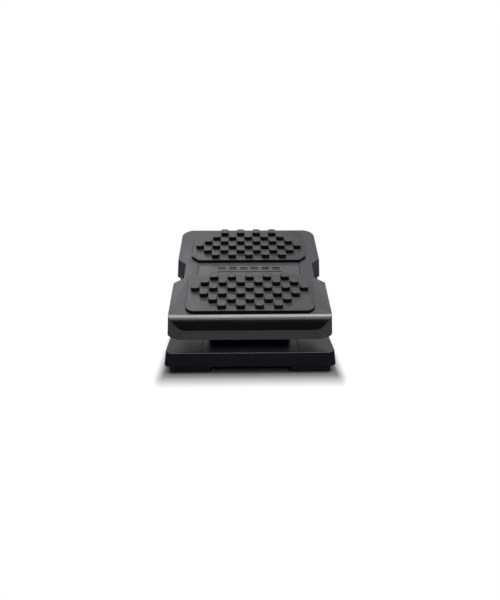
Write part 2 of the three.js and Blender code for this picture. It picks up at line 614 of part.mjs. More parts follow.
function glandNut() {
  const rear = REAR_INNER - GLUE_GAP;
  const hexagon = cylinderY(GLAND_NUT.radius, rear - GLAND_NUT.thickness, rear, [GLAND_X, GLAND_Z], 6);
  return hexagon.subtract(cylinderY(GLAND_THREAD + FIT_GAP, 0, FAR, [GLAND_X, GLAND_Z]));
}

function selectorBody() {
  const { halfX, halfZ } = SELECTOR_BODY;
  const can = selectorBlock(SELECTOR_X, halfX, [SELECTOR_FRONT, SELECTOR_REAR], halfZ);
  const trackY = [SELECTOR_FRONT + 1, FAR];
  return can.subtract(selectorBlock(SELECTOR_X, SELECTOR_TRACK.halfX, trackY, SELECTOR_TRACK.halfZ));
}

/** The slider at the left end of its travel: a carrier in the track, and a knob out through the wall. */
function selectorSlider() {
  const restX = SELECTOR_X - SELECTOR_TRAVEL / 2;
  const front = SELECTOR_FRONT + 1 + FIT_GAP;
  const middle = front + SLIDER.depth;
  const rear = PEDESTAL_REAR + SLIDER.knobProud;
  const carrier = selectorBlock(restX, SLIDER.halfX, [front, middle], SLIDER.halfZ);
  return carrier.add(selectorBlock(restX, SLIDER.knobHalfX, [middle - OVERLAP, rear], SLIDER.halfZ));
}

function selectorTerminal(x) {
  const { halfX, halfZ, length } = SELECTOR_PIN;
  return selectorBlock(x, halfX, [SELECTOR_FRONT - length, SELECTOR_FRONT - GLUE_GAP], halfZ);
}

place(pedal, 'cable_gland', cableGland(), MATERIALS.foot);
place(pedal, 'cable_gland_nut', glandNut(), MATERIALS.nylon);
place(pedal, 'polarity_switch_body', selectorBody(), MATERIALS.steel);
['normally_open', 'output', 'normally_closed'].forEach((name, i) => {
  place(pedal, `polarity_terminal_${name}`, selectorTerminal(SELECTOR_PINS[i]), MATERIALS.brass);
});
place(pedal, 'polarity_slider', selectorSlider(), MATERIALS.switchBody);

// ---- Wires from the momentary switch to the selector ----
const WIRE_STEPS = 16;
const WIRE_REST = SWITCH_BOTTOM - 2.6; // height of the level stretch

/** A wire that leaves the side of a switch terminal, runs to the rear and climbs to a selector pin. */
function wire(terminalY, pinX, laneX, laneY) {
  const points = [
    [-TERMINAL.halfWidth - 2 * WIRE_RADIUS, terminalY, SWITCH_BOTTOM - 2.2],
    [laneX, terminalY + 2.2, WIRE_REST],
    [laneX, laneY - 4.5, WIRE_REST],
    [laneX + 3, laneY - 0.8, WIRE_REST + 1],
    [pinX - 2.6, laneY, 13],
    [pinX, laneY + 1.4, 17],
    [pinX, SELECTOR_FRONT - SELECTOR_PIN.length - GLUE_GAP - WIRE_RADIUS, SELECTOR_Z],
  ];
  const path = new THREE.CatmullRomCurve3(points.map((at) => new THREE.Vector3(...at)));
  return tube(path, WIRE_RADIUS, WIRE_STEPS);
}

const openWire = wire(TERMINAL_PLACES[1], SELECTOR_PINS[0], -5.4, 25);
const closedWire = wire(TERMINAL_PLACES[2], SELECTOR_PINS[2], -3.2, 22.6);
place(pedal, 'wire_normally_open', openWire, MATERIALS.redWire);
place(pedal, 'wire_normally_closed', closedWire, MATERIALS.whiteWire);

// ---- Treadle ----
/** The treadle's plan outline, pulled in all round by shrink: rounded corners, and a notch in each side. */
function treadleOutline(shrink) {
  const half = TREADLE_HALF_WIDTH - shrink;
  const rearHalf = half - REAR_NARROWING;
  const [front, rear] = [TREADLE_FRONT + shrink, TREADLE_REAR - shrink];
  const [frontX, frontY] = FRONT_CORNER.map((axis) => axis - shrink);
  const rearRadius = REAR_CORNER - shrink;
  const grow = shrink * (Math.SQRT2 - 1); // how far the notch's 45 degree corners move
  const [inner, outer] = [NOTCH_INNER + grow, NOTCH_OUTER + grow];
  const shape = new THREE.Shape();
  shape.absarc(rearHalf - rearRadius, rear - rearRadius, rearRadius, 0, QUARTER, false);
  shape.absarc(-rearHalf + rearRadius, rear - rearRadius, rearRadius, QUARTER, 2 * QUARTER, false);
  shape.lineTo(-rearHalf, outer);
  shape.lineTo(-half + NOTCH_DEPTH, inner);
  shape.lineTo(-half + NOTCH_DEPTH, -inner);
  shape.lineTo(-half, -outer);
  shape.absellipse(-half + frontX, front + frontY, frontX, frontY, 2 * QUARTER, 3 * QUARTER, false, 0);
  shape.absellipse(half - frontX, front + frontY, frontX, frontY, 3 * QUARTER, 4 * QUARTER, false, 0);
  shape.lineTo(half, -outer);
  shape.lineTo(half - NOTCH_DEPTH, -inner);
  shape.lineTo(half - NOTCH_DEPTH, inner);
  shape.lineTo(rearHalf, outer);
  shape.closePath();
  return shape;
}

/** What the front bevel takes off the treadle, moved back by shrink for the hollow inside. */
function bevelCutter(shrink) {
  const curve = new THREE.QuadraticBezierCurve(
    new THREE.Vector2(RIDGE_Y, TREADLE_TOP),
    new THREE.Vector2(...BEVEL_CONTROL),
    new THREE.Vector2(...BEVEL_END),
  );
  const points = curve.getPoints(4).map((point) => [point.x + shrink, point.y - shrink * 0.4]);
  const below = [-FAR, points.at(-1)[1]];
  return prismX(polygon([...points, below, [-FAR, FAR], [points[0][0], FAR]]), -FAR, FAR);
}

function treadleBody(shrink) {
  const top = TREADLE_TOP - shrink;
  const floor = shrink ? SKIRT_BOTTOM - 1 : SKIRT_BOTTOM;
  const outline = prismZ(treadleOutline(shrink), floor, top, 5);
  const body = solid(taper(outline, SKIRT_BOTTOM, TREADLE_TOP, TREADLE_TAPER));
  return body.subtract(bevelCutter(shrink));
}

/** Pad outline in plan: end is -1 for the heel pad and 1 for the toe pad. */
function padOutline(end, shrink = 0) {
  const half = PAD_HALF_WIDTH - shrink;
  const [inner, outer] = [PAD_INNER + shrink, PAD_OUTER - shrink];
  const radius = PAD_CORNER - shrink;
  const corner = PAD_CHAMFER - shrink * (2 - Math.SQRT2);
  const shape = new THREE.Shape();
  shape.moveTo(-half + corner, inner);
  shape.lineTo(half - corner, inner);
  shape.lineTo(half, inner + corner);
  shape.absarc(half - radius, outer - radius, radius, 0, QUARTER, false);
  shape.absarc(-half + radius, outer - radius, radius, QUARTER, 2 * QUARTER, false);
  shape.lineTo(-half, inner + corner);
  shape.closePath();
  return polygon(shape.getPoints(5).map((point) => [end * point.x, PATTERN_CENTRE + end * point.y]));
}

function pad(end) {
  const face = TREADLE_TOP + PAD_PROUD;
  const mat = solid(prismZ(padOutline(end, FIT_GAP), TREADLE_TOP - PAD_POCKET + FIT_GAP, face));
  const studs = STUD_ROWS.flatMap((count, row) => Array.from({ length: count }, (_, column) => {
    const x = (column - (count - 1) / 2) * 2 * STUD_PITCH;
    const y = PATTERN_CENTRE + end * (STUD_FIRST_ROW + row * STUD_PITCH);
    const outline = roundedRectangle([STUD_SIZE, STUD_SIZE], STUD_CORNER, [x, y]);
    return solid(prismZ(outline, face - OVERLAP, face + STUD_HEIGHT, 1));
  }));
  return joined([mat, ...studs]);
}

function namePlateOutline(grow) {
  const size = NAME_PLATE_SIZE.map((side) => side + 2 * grow);
  return roundedRectangle(size, NAME_PLATE_CORNER + grow, [0, NAME_PLATE_CENTRE]);
}

const CEILING = TREADLE_TOP - TREADLE_WALL; // underside of the treadle's top
const ROOT = CEILING + OVERLAP; // how high the shapes that hang from it start
const NOTCH_FLOOR = TREADLE_HALF_WIDTH - NOTCH_DEPTH;
const AXLE_BOSS = { radius: 4.6, inner: CHEEK_OUTER + 1.4, outer: NOTCH_FLOOR - 1.5 };

function axleBoss(side) {
  const { radius, inner, outer } = AXLE_BOSS;
  const [near, far] = mirroredRange(side, inner, outer);
  return cylinderX(radius, near, far).add(block([near, far], [-radius, radius], [0, ROOT]));
}

function treadleRibs() {
  const { x, halfThickness } = RIB;
  const { alongY, crossX, crossY } = RIB_RUNS;
  const height = [RIB.bottom, ROOT];
  const across = (middle) => [middle - halfThickness, middle + halfThickness];
  const longRibs = [-x, x].map((middle) => block(across(middle), alongY, height));
  const crossRibs = crossY.map((y) => block(crossX, across(y), height));
  return joined([...longRibs, ...crossRibs]).intersect(treadleBody(0));
}

function treadleShell() {
  const hollow = treadleBody(0).subtract(treadleBody(TREADLE_WALL));
  const stops = [HEEL_STOP, TOE_STOP].flatMap(({ y, bottom }) => (
    [-BUMPER_X, BUMPER_X].map((x) => cylinderZ(STOP_RADIUS, bottom, ROOT, [x, y], MEDIUM_SIDES))
  ));
  const body = joined([hollow, treadleRibs(), axleBoss(-1), axleBoss(1), ...stops]);
  const axleHole = cylinderX(AXLE_RADIUS + FIT_GAP, -FAR, FAR);
  const padPockets = [-1, 1].map((end) => solid(prismZ(padOutline(end), TREADLE_TOP - PAD_POCKET, FAR)));
  const platePocket = solid(prismZ(namePlateOutline(FIT_GAP), TREADLE_TOP - NAME_PLATE_POCKET, FAR, 3));
  return cut(body, [axleHole, ...padPockets, platePocket]);
}

function axle() {
  const { head, headThickness, grooveRadius } = AXLE;
  const [grooveStart, grooveEnd] = [NOTCH_FLOOR + AXLE.groove[0], NOTCH_FLOOR + AXLE.groove[1]];
  const headEnd = -NOTCH_FLOOR - 2 * GLUE_GAP;
  const rod = cylinderX(AXLE_RADIUS, headEnd - OVERLAP, NOTCH_FLOOR + AXLE.proud);
  const cap = cylinderX(head, headEnd - headThickness, headEnd);
  const core = cylinderX(grooveRadius, 0, FAR, [0, 0], MEDIUM_SIDES);
  const groove = cylinderX(FAR, grooveStart, grooveEnd, [0, 0], MEDIUM_SIDES).subtract(core);
  return rod.add(cap).subtract(groove);
}

/** A retaining ring in the axle's groove, open at its top. */
function axleClip() {
  const [grooveStart, grooveEnd] = AXLE.groove;
  const ring = cylinderX(AXLE.head, NOTCH_FLOOR + grooveStart + GLUE_GAP, NOTCH_FLOOR + grooveEnd - GLUE_GAP);
  const hole = cylinderX(AXLE.grooveRadius + 2 * GLUE_GAP, 0, FAR, [0, 0], MEDIUM_SIDES);
  return ring.subtract(hole).subtract(block([0, FAR], [-CLIP_MOUTH, CLIP_MOUTH], [0, FAR]));
}

/** Turns a point of the level base, given as [y, z], into the resting treadle's own frame. */
function inTreadle([y, z]) {
  return new THREE.Vector2(y - PIVOT_Y, z - PIVOT_Z).rotateAround(new THREE.Vector2(), -REST_TILT);
}

const FINGER = inTreadle(FINGER_TIP);
const FLANGE_TOP = CEILING - FIT_GAP;
const ACTUATOR_SCREWS = [-1, 1].map((side) => [side * ACTUATOR_SCREW.x, FINGER.x - ACTUATOR_SCREW.ahead]);

/** The part under the treadle that presses the switch: a flange, and a finger braced by a web. */
function actuator() {
  const half = FINGER_WIDTH / 2;
  const fingerY = [FINGER.x - FINGER_RADIUS, FINGER.x + FINGER_RADIUS];
  const finger = block([-half, half], fingerY, [FINGER.y, FLANGE_TOP]);
  const tip = cylinderX(FINGER_RADIUS, -half, half, [FINGER.x, FINGER.y], MEDIUM_SIDES);
  const { halfX, front, rear, thickness } = ACTUATOR_FLANGE;
  const flangeY = [FINGER.x - front, FINGER.x + rear];
  const flange = block([-halfX, halfX], flangeY, [FLANGE_TOP - thickness, FLANGE_TOP]);
  const webTop = FLANGE_TOP - OVERLAP;
  const web = prismX(polygon([
    [FINGER.x - front + OVERLAP, webTop],
    [FINGER.x - 1, webTop],
    [FINGER.x - 1, webTop - front],
  ]), -WEB_HALF, WEB_HALF);
  const screwHoles = ACTUATOR_SCREWS.map((at) => (
    cylinderZ(ACTUATOR_SCREW.radius + FIT_GAP, -FAR, FAR, at, SMALL_SIDES)
  ));
  return cut(joined([finger, tip, flange, web]), screwHoles);
}

function actuatorScrew(at) {
  const { radius, headRadius, headHeight } = ACTUATOR_SCREW;
  const seat = FLANGE_TOP - ACTUATOR_FLANGE.thickness - GLUE_GAP;
  const head = cylinderZ(headRadius, seat - headHeight, seat, at, MEDIUM_SIDES);
  return head.add(cylinderZ(radius, seat - OVERLAP, CEILING - GLUE_GAP, at, SMALL_SIDES));
}

/** Cup that holds the spring's upper end, upright halfway through the treadle's travel. */
function springCup() {
  const { outer, inner, spigot, lip, height } = SPRING_CUP;
  const barrel = cylinderZ(outer, -lip, height).subtract(cylinderZ(inner, -2 * lip, 0));
  const core = cylinderZ(spigot, -lip, 1, [0, 0], MEDIUM_SIDES);
  const upright = barrel.add(core).rotate([THREE.MathUtils.radToDeg(SPRING_CUP_TILT), 0, 0]);
  const standing = upright.translate([0, SPRING_CUP_Y, SPRING_CUP_FLOOR]);
  return standing.subtract(block([-FAR, FAR], [-FAR, FAR], [FLANGE_TOP, 2 * FAR]));
}

function namePlate() {
  const floor = TREADLE_TOP - NAME_PLATE_POCKET + FIT_GAP;
  return solid(prismZ(namePlateOutline(0), floor, floor + NAME_PLATE_THICKNESS, 3));
}

place(treadle, 'treadle_shell', treadleShell(), MATERIALS.treadle);
place(treadle, 'heel_pad', pad(-1), MATERIALS.rubber);
place(treadle, 'toe_pad', pad(1), MATERIALS.rubber);
place(treadle, 'name_plate', namePlate(), MATERIALS.namePlate);
place(treadle, 'axle', axle(), MATERIALS.steel);
place(treadle, 'axle_clip', axleClip(), MATERIALS.steel);
place(treadle, 'actuator', actuator(), MATERIALS.nylon);
ACTUATOR_SCREWS.forEach((at, i) => {
  place(treadle, `actuator_screw_${i + 1}`, actuatorScrew(at), MATERIALS.steel);
});
place(treadle, 'spring_cup', springCup(), MATERIALS.nylon);

export default pedal;
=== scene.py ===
"""Sustain pedal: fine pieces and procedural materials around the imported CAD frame."""

import json
import math

import bmesh
import bpy
from mathutils import Matrix, Vector


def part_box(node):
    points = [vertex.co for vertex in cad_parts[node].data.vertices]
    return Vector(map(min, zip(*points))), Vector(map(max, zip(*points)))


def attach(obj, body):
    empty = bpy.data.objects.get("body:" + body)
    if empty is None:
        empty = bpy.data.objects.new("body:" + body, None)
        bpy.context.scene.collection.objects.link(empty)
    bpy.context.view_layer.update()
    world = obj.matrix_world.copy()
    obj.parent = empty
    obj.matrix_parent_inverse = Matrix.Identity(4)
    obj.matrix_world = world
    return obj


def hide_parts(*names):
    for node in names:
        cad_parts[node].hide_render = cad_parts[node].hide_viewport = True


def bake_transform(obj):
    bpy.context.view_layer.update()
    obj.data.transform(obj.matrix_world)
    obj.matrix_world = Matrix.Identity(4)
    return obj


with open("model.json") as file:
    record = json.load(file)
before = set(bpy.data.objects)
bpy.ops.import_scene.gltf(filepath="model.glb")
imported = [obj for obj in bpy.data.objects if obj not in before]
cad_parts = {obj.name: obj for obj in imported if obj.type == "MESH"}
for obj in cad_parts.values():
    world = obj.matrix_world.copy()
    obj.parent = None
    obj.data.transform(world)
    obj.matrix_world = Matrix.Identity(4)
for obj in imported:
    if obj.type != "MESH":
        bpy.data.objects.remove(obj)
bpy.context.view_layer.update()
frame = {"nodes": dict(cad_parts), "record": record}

# Shapes are made in millimetres and placed in metres.
MM = 0.001
TURN = 2 * math.pi
QUARTER = math.pi / 2
FAR = 200.0  # past every face, for cutters
REST_TILT = math.radians(19.8)
JOINTS = {joint["name"]: joint for joint in frame["record"]["behaviour"]["joints"]}
PIVOT = Vector(JOINTS["treadle_pivot"]["pos_m"])
IN_ROW = Matrix.Scale(MM, 4)
IN_TREADLE = Matrix.Translation(PIVOT) @ Matrix.Rotation(REST_TILT, 4, "X") @ Matrix.Scale(MM, 4)
Z_TO_X = Matrix.Rotation(QUARTER, 4, "Y")
Z_TO_Y = Matrix.Rotation(-QUARTER, 4, "X")
HALF_TURN = Matrix.Rotation(math.pi, 4, "Z")


def box_mm(node):
    """Lowest and highest corner of a CAD node, in millimetres."""
    low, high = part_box(node)
    return low / MM, high / MM


# ---- Outlines: lists of (x, y), counter-clockwise ----
def arc(centre, radius, start, end, steps):
    x, y = centre
    angles = [start + (end - start) * i / steps for i in range(steps + 1)]
    return [(x + radius * math.cos(a), y + radius * math.sin(a)) for a in angles]


def circle(radius, steps=48, centre=(0, 0)):
    return arc(centre, radius, 0, TURN, steps)[:-1]


def rounded_rectangle(width, length, radius, centre=(0, 0), steps=10):
    x, y = centre
    dx, dy = width / 2 - radius, length / 2 - radius
    corners = [(x + dx, y + dy), (x - dx, y + dy), (x - dx, y - dy), (x + dx, y - dy)]
    points = []
    for i, corner in enumerate(corners):
        points += arc(corner, radius, i * QUARTER, (i + 1) * QUARTER, steps)
    return points


def rectangle_of(size, radius, centre=(0, 0), steps=10):
    """A function of shrink for soft_prism that gives a rounded rectangle."""
    return lambda s: rounded_rectangle(size[0] - 2 * s, size[1] - 2 * s, radius - s, centre, steps)


# ---- Solids: closed meshes in millimetres ----
def mesh_object(bm):
    """A new object from a bmesh, which is used up."""
    bmesh.ops.recalc_face_normals(bm, faces=bm.faces)
    mesh = bpy.data.meshes.new("work")
    bm.to_mesh(mesh)
    bm.free()
    made = bpy.data.objects.new("work", mesh)
    bpy.context.collection.objects.link(made)
    return made


def loft(rings, closed=False):
    """A skin through rings of 3-D points, with flat ends, or joined end to end when closed."""
    bm = bmesh.new()
    rows = [[bm.verts.new(point) for point in ring] for ring in rings]
    pairs = list(zip(rows, rows[1:]))
    if closed:
        pairs.append((rows[-1], rows[0]))
    else:
        bm.faces.new(list(reversed(rows[0])))
        bm.faces.new(rows[-1])
    count = len(rows[0])
    for low, high in pairs:
        for i in range(count):
            j = (i + 1) % count
            bm.faces.new((low[i], low[j], high[j], high[i]))
    return mesh_object(bm)


def at_height(outline, z):
    return [(x, y, z) for x, y in outline]


def prism(outline, z0, z1):
    return loft([at_height(outline, z0), at_height(outline, z1)])


def fillet_levels(z0, z1, bottom, top, steps=4):
    """(height, shrink) pairs for walls that end in quarter-round fillets of radius bottom and top."""
    angles = [QUARTER * i / steps for i in range(steps + 1)]
    quarter = [(1 - math.sin(a), 1 - math.cos(a)) for a in angles]
    low = [(z0 + bottom * rise, bottom * shrink) for rise, shrink in reversed(quarter)]
    high = [(z1 - top * rise, top * shrink) for rise, shrink in quarter]
    return (low if bottom else [(z0, 0)]) + (high if top else [(z1, 0)])


def soft_prism(outline_of, z0, z1, bottom=0.0, top=0.0, steps=4):
    """A prism with filleted ends. outline_of(shrink) gives its outline, pulled in all round by shrink."""
    levels = fillet_levels(z0, z1, bottom, top, steps)
    return loft([at_height(outline_of(shrink), z) for z, shrink in levels])


def turned(profile, steps=48):
    """A profile of (radius, z) turned about Z, with flat ends."""
    return loft([at_height(circle(radius, steps), z) for radius, z in profile])


def turned_ring(profile, steps=48):
    """A closed loop of (radius, z) turned about Z, with a hole through it."""
    return loft([at_height(circle(radius, steps), z) for radius, z in profile], closed=True)


def block(x, y, z):
    corners = [(x[0], y[0]), (x[1], y[0]), (x[1], y[1]), (x[0], y[1])]
    return prism(corners, *z)


def moved(thing, matrix):
    thing.data.transform(matrix)
    return thing


def shift(thing, x=0.0, y=0.0, z=0.0):
    return moved(thing, Matrix.Translation((x, y, z)))


def apply_modifiers(thing):
    graph = bpy.context.evaluated_depsgraph_get()
    mesh = bpy.data.meshes.new_from_object(thing.evaluated_get(graph))
    thing.modifiers.clear()
    old = thing.data
    thing.data = mesh
    bpy.data.meshes.remove(old)
    return thing


def combine(base, others, operation):
    for other in others:
        modifier = base.modifiers.new("solid", "BOOLEAN")
        modifier.operation = operation
        modifier.solver = "MANIFOLD"
        modifier.object = other
    bpy.context.view_layer.update()
    apply_modifiers(base)
    for other in others:
        mesh = other.data
        bpy.data.objects.remove(other)
        bpy.data.meshes.remove(mesh)
    return base


def join(base, others):
    return combine(base, others, "UNION")


def cut(base, others):
    return combine(base, others, "DIFFERENCE")


def bevelled(thing, width, segments=3, angle=30):
    modifier = thing.modifiers.new("edges", "BEVEL")
    modifier.width = width
    modifier.segments = segments
    modifier.limit_method = "ANGLE"
    modifier.angle_limit = math.radians(angle)
    bpy.context.view_layer.update()
    return apply_modifiers(thing)


def path_points(points, steps):
    """A smooth curve through points, with steps stretches between each two."""
    found = []
    for i in range(len(points) - 1):
        p0 = points[max(i - 1, 0)]
        p1, p2 = points[i], points[i + 1]
        p3 = points[min(i + 2, len(points) - 1)]
        for k in range(steps):
            t = k / steps
            found.append([
                b + 0.5 * t * (c - a + t * (2 * a - 5 * b + 4 * c - d + t * (3 * b - a - 3 * c + d)))
                for a, b, c, d in zip(p0, p1, p2, p3)
            ])
    return [Vector(point) for point in found + [list(points[-1])]]


def tube(points, radius, sides=14):
    """A round tube with flat ends along a list of points."""
    tangents = [points[min(i + 1, len(points) - 1)] - points[max(i - 1, 0)] for i in range(len(points))]
    normal = tangents[0].orthogonal().normalized()
    rings = []
    for point, tangent in zip(points, tangents):
        tangent.normalize()
        normal = (normal - tangent * normal.dot(tangent)).normalized()
        side = tangent.cross(normal)
        rings.append([point + radius * (math.cos(a) * normal + math.sin(a) * side)
                      for a in (TURN * i / sides for i in range(sides))])
    return loft(rings)


# ---- Materials ----
class Nodes:
    """A short way to write a material's nodes."""

    def __init__(self, name):
        self.material = bpy.data.materials.new(name)
        self.material.use_nodes = True
        self.tree = self.material.node_tree
        self.shader = self.tree.nodes["Principled BSDF"]
        self.place = self.add("ShaderNodeTexCoord").outputs["Object"]

    def add(self, kind, **settings):
        node = self.tree.nodes.new(kind)
        for key, value in settings.items():
            setattr(node, key, value)
        return node

    def link(self, source, target):
        self.tree.links.new(source, target)

    def stretched(self, scale):
        mapping = self.add("ShaderNodeMapping")
        mapping.inputs["Scale"].default_value = scale
        self.link(self.place, mapping.inputs["Vector"])
        return mapping.outputs["Vector"]

    def noise(self, scale, detail=3.0, roughness=0.55, place=None):
        node = self.add("ShaderNodeTexNoise")
        node.inputs["Scale"].default_value = scale
        node.inputs["Detail"].default_value = detail
        node.inputs["Roughness"].default_value = roughness
        self.link(place or self.place, node.inputs["Vector"])
        return node.outputs["Fac"]

    def cells(self, scale):
        node = self.add("ShaderNodeTexVoronoi")
        node.inputs["Scale"].default_value = scale
        self.link(self.place, node.inputs["Vector"])
        return node.outputs["Distance"]

    def spread(self, value, low, high, to_low=0.0, to_high=1.0):
        """value from low to high, stretched to to_low to to_high."""
        node = self.add("ShaderNodeMapRange")
        self.link(value, node.inputs["Value"])
        node.inputs["From Min"].default_value = low
        node.inputs["From Max"].default_value = high
        node.inputs["To Min"].default_value = to_low
        node.inputs["To Max"].default_value = to_high
        return node.outputs["Result"]

    def maths(self, operation, a, b):
        node = self.add("ShaderNodeMath", operation=operation)
        for socket, value in zip(node.inputs, (a, b)):
            if isinstance(value, (int, float)):
                socket.default_value = value
            else:
                self.link(value, socket)
        return node.outputs[0]

    def mix(self, amount, a, b):
        """A blend of two colours, each a socket or an (r, g, b)."""
        node = self.add("ShaderNodeMix", data_type="RGBA")
        self.link(amount, node.inputs["Factor"])
        for socket, value in ((node.inputs["A"], a), (node.inputs["B"], b)):
            if isinstance(value, tuple):
                socket.default_value = (*value, 1)
            else:
                self.link(value, socket)
        return node.outputs["Result"]

    def edges(self, start=0.53, end=0.62):
        """How far a point is on a convex edge."""
        pointiness = self.add("ShaderNodeNewGeometry").outputs["Pointiness"]
        return self.spread(pointiness, start, end)

    def facing_up(self):
        """1 on the level faces of a piece and 0 on its upright ones."""
        normal = self.add("ShaderNodeTexCoord").outputs["Normal"]
        split = self.add("ShaderNodeSeparateXYZ")
        self.link(normal, split.inputs["Vector"])
        return self.spread(split.outputs["Z"], 0.5, 0.85)

    def bump(self, height, distance, under=None):
        node = self.add("ShaderNodeBump")
        node.inputs["Strength"].default_value = 1.0
        node.inputs["Distance"].default_value = distance
        self.link(height, node.inputs["Height"])
        if under:
            self.link(under, node.inputs["Normal"])
        return node.outputs["Normal"]

    def finish(self, colour, roughness, normal=None, metallic=0.0, specular=0.5):
        wanted = {"Base Color": colour, "Roughness": roughness, "Normal": normal}
        wanted.update({"Metallic": metallic, "Specular IOR Level": specular})
        for name, value in wanted.items():
            if isinstance(value, tuple):
                self.shader.inputs[name].default_value = (*value, 1)
            elif isinstance(value, (int, float)):
                self.shader.inputs[name].default_value = value
            elif value is not None:
                self.link(value, self.shader.inputs[name])
        return self.material


def moulded_plastic(name, colour, roughness, grain=1.0, specular=0.5):
    """Injection-moulded plastic: spark-eroded grain, cloudy gloss, hairline scuffs and paler edges."""
    n = Nodes(name)
    scuff = n.noise(40, 2, place=n.stretched((60, 3, 8)))
    scuffs = n.spread(scuff, 0.66, 0.72, 0, 0.35)
    cloud = n.noise(90, 3)
    pale = tuple(min(1, c * 1.9 + 0.015) for c in colour)
    surface_colour = n.mix(n.spread(cloud, 0.35, 0.65, 0, 0.35), colour, tuple(c * 0.8 for c in colour))
    surface_colour = n.mix(n.maths("MULTIPLY", n.edges(), 0.3), surface_colour, pale)
    gloss = n.maths("ADD", n.spread(cloud, 0.3, 0.7, roughness - 0.05, roughness + 0.06), scuffs)
    fine = n.bump(n.noise(5200, 2), 0.00003 * grain)
    normal = n.bump(n.cells(2600), 0.00002 * grain, under=fine)
    return n.finish(surface_colour, gloss, normal, specular=specular)


def polished_plastic(name, colour, roughness, specular=0.5):
    """The same plastic where the mould is polished: a faint ripple and a little dust."""
    n = Nodes(name)
    dust = n.spread(n.noise(2500, 2), 0.68, 0.74)
    surface_colour = n.mix(n.maths("MULTIPLY", dust, 0.05), colour, (0.2, 0.2, 0.2))
    gloss = n.spread(n.noise(160, 2), 0.3, 0.7, roughness, roughness + 0.07)
    return n.finish(surface_colour, gloss, n.bump(n.noise(220, 1), 0.00002), specular=specular)


PAINTED_SIDE_SHADE = 0.25  # painted shade: colour and shine of a tread's upright sides, as a share of those of its top


def rubber(name, colour, roughness, specular=0.4, tread=False):
    """Moulded rubber: fine pebble, chalky bloom and pale dust. A tread gets painted shade: its upright
    sides are darker and less shiny than its top.
    """
    n = Nodes(name)
    bloom = n.spread(n.noise(120, 5, 0.65), 0.4, 0.7)
    pale = tuple(min(1, c * 1.6 + 0.02) for c in colour)
    surface_colour = n.mix(n.maths("MULTIPLY", bloom, 0.25), colour, pale)
    specks = n.spread(n.noise(1700, 2), 0.7, 0.76)
    surface_colour = n.mix(n.maths("MULTIPLY", specks, 0.15), surface_colour, (0.3, 0.3, 0.29))
    gloss = n.spread(bloom, 0, 1, roughness - 0.06, roughness + 0.1)
    # painted shade: the upright faces of mat and studs get a darkened, duller copy of the colour and shine
    if tread:
        top = n.facing_up()
        surface_colour = n.mix(top, tuple(c * PAINTED_SIDE_SHADE for c in colour), surface_colour)
        specular = n.spread(top, 0, 1, specular * PAINTED_SIDE_SHADE, specular)
    fine = n.bump(n.noise(3400, 3), 0.00004)
    return n.finish(surface_colour, gloss, n.bump(n.cells(1500), 0.00003, under=fine), specular=specular)


def metal(name, colour, roughness):
    """Plated or drawn metal: brushed streaks and dull patches."""
    n = Nodes(name)
    lines = n.noise(60, 3, place=n.stretched((30, 30, 900)))
    patch = n.noise(350, 3)
    dull = tuple(c * 0.72 for c in colour)
    surface_colour = n.mix(n.spread(patch, 0.4, 0.7), colour, dull)
    brushed = n.spread(lines, 0.3, 0.7, roughness - 0.06, roughness + 0.1)
    gloss = n.maths("ADD", brushed, n.spread(patch, 0.5, 0.8, 0, 0.12))
    return n.finish(surface_colour, gloss, n.bump(lines, 0.00001), metallic=1.0)


def powder_coat(name, colour, roughness):
    """Painted steel with an orange-peel surface."""
    n = Nodes(name)
    peel = n.noise(1100, 2)
    surface_colour = n.mix(n.maths("MULTIPLY", n.edges(0.52, 0.6), 0.5), colour, (0.35, 0.35, 0.36))
    gloss = n.spread(n.noise(130, 3), 0.3, 0.7, roughness - 0.06, roughness + 0.08)
    return n.finish(surface_colour, gloss, n.bump(peel, 0.00005))


MATERIALS = {
    "treadle_plastic": moulded_plastic("treadle_grey", (0.0433, 0.0419, 0.049), 0.5),
    "bevel": polished_plastic("treadle_bevel", (0.001, 0.001, 0.0012), 0.2, 0.85),
    "base_plastic": moulded_plastic("base_black", (0.006, 0.0055, 0.0095), 0.2, grain=0.04),
    "pad_rubber": rubber("pad_rubber", (0.0175, 0.0175, 0.018), 0.5, specular=0.75, tread=True),
    "foot_rubber": rubber("foot_rubber", (0.012, 0.011, 0.012), 0.8),
    "name_plate_plastic": moulded_plastic("name_plate_grey", (0.058, 0.057, 0.063), 0.46, grain=0.6),
    "engraving": polished_plastic("name_plate_engraving", (0.006, 0.006, 0.007), 0.35),
    "painted_steel": powder_coat("plate_paint", (0.02, 0.02, 0.022), 0.5),
    "steel": metal("zinc_steel", (0.62, 0.62, 0.64), 0.32),
    "black_steel": metal("blackened_steel", (0.035, 0.035, 0.038), 0.42),
    "nylon": moulded_plastic("natural_nylon", (0.72, 0.7, 0.62), 0.42, grain=0.6),
    "switch_plastic": moulded_plastic("switch_phenolic", (0.018, 0.016, 0.016), 0.36, grain=0.5),
    "brass": metal("brass", (0.78, 0.55, 0.24), 0.34),
    "red_plastic": moulded_plastic("red_acetal", (0.45, 0.02, 0.014), 0.35, grain=0.4),
    "red_wire": polished_plastic("red_wire", (0.36, 0.012, 0.01), 0.38),
    "white_wire": polished_plastic("white_wire", (0.72, 0.7, 0.66), 0.4),
}


# ---- Pieces ----
def shade(mesh, sharp=35):
    """Smooth shading, with crisp edges where faces meet at more than the angle sharp."""
    mesh.polygons.foreach_set("use_smooth", [True] * len(mesh.polygons))
    mesh.set_sharp_from_angle(angle=math.radians(sharp))


def piece(thing, name, body, slot, nodes, place=IN_ROW, look=None):
    """Places a solid made in millimetres and declares what it rides on and stands for.

    look names a material other than the slot's. A solid that has its materials already keeps them.
    """
    moved(thing, place)
    shade(thing.data)
    weighted = thing.modifiers.new("flat faces", "WEIGHTED_NORMAL")
    weighted.keep_sharp = True
    thing.name = name
    thing.data.name = name
    if not any(thing.data.materials):
        thing.data.materials.clear()
        thing.data.materials.append(MATERIALS[look or slot])
    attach(thing, body)
    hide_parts(*nodes)
    return thing


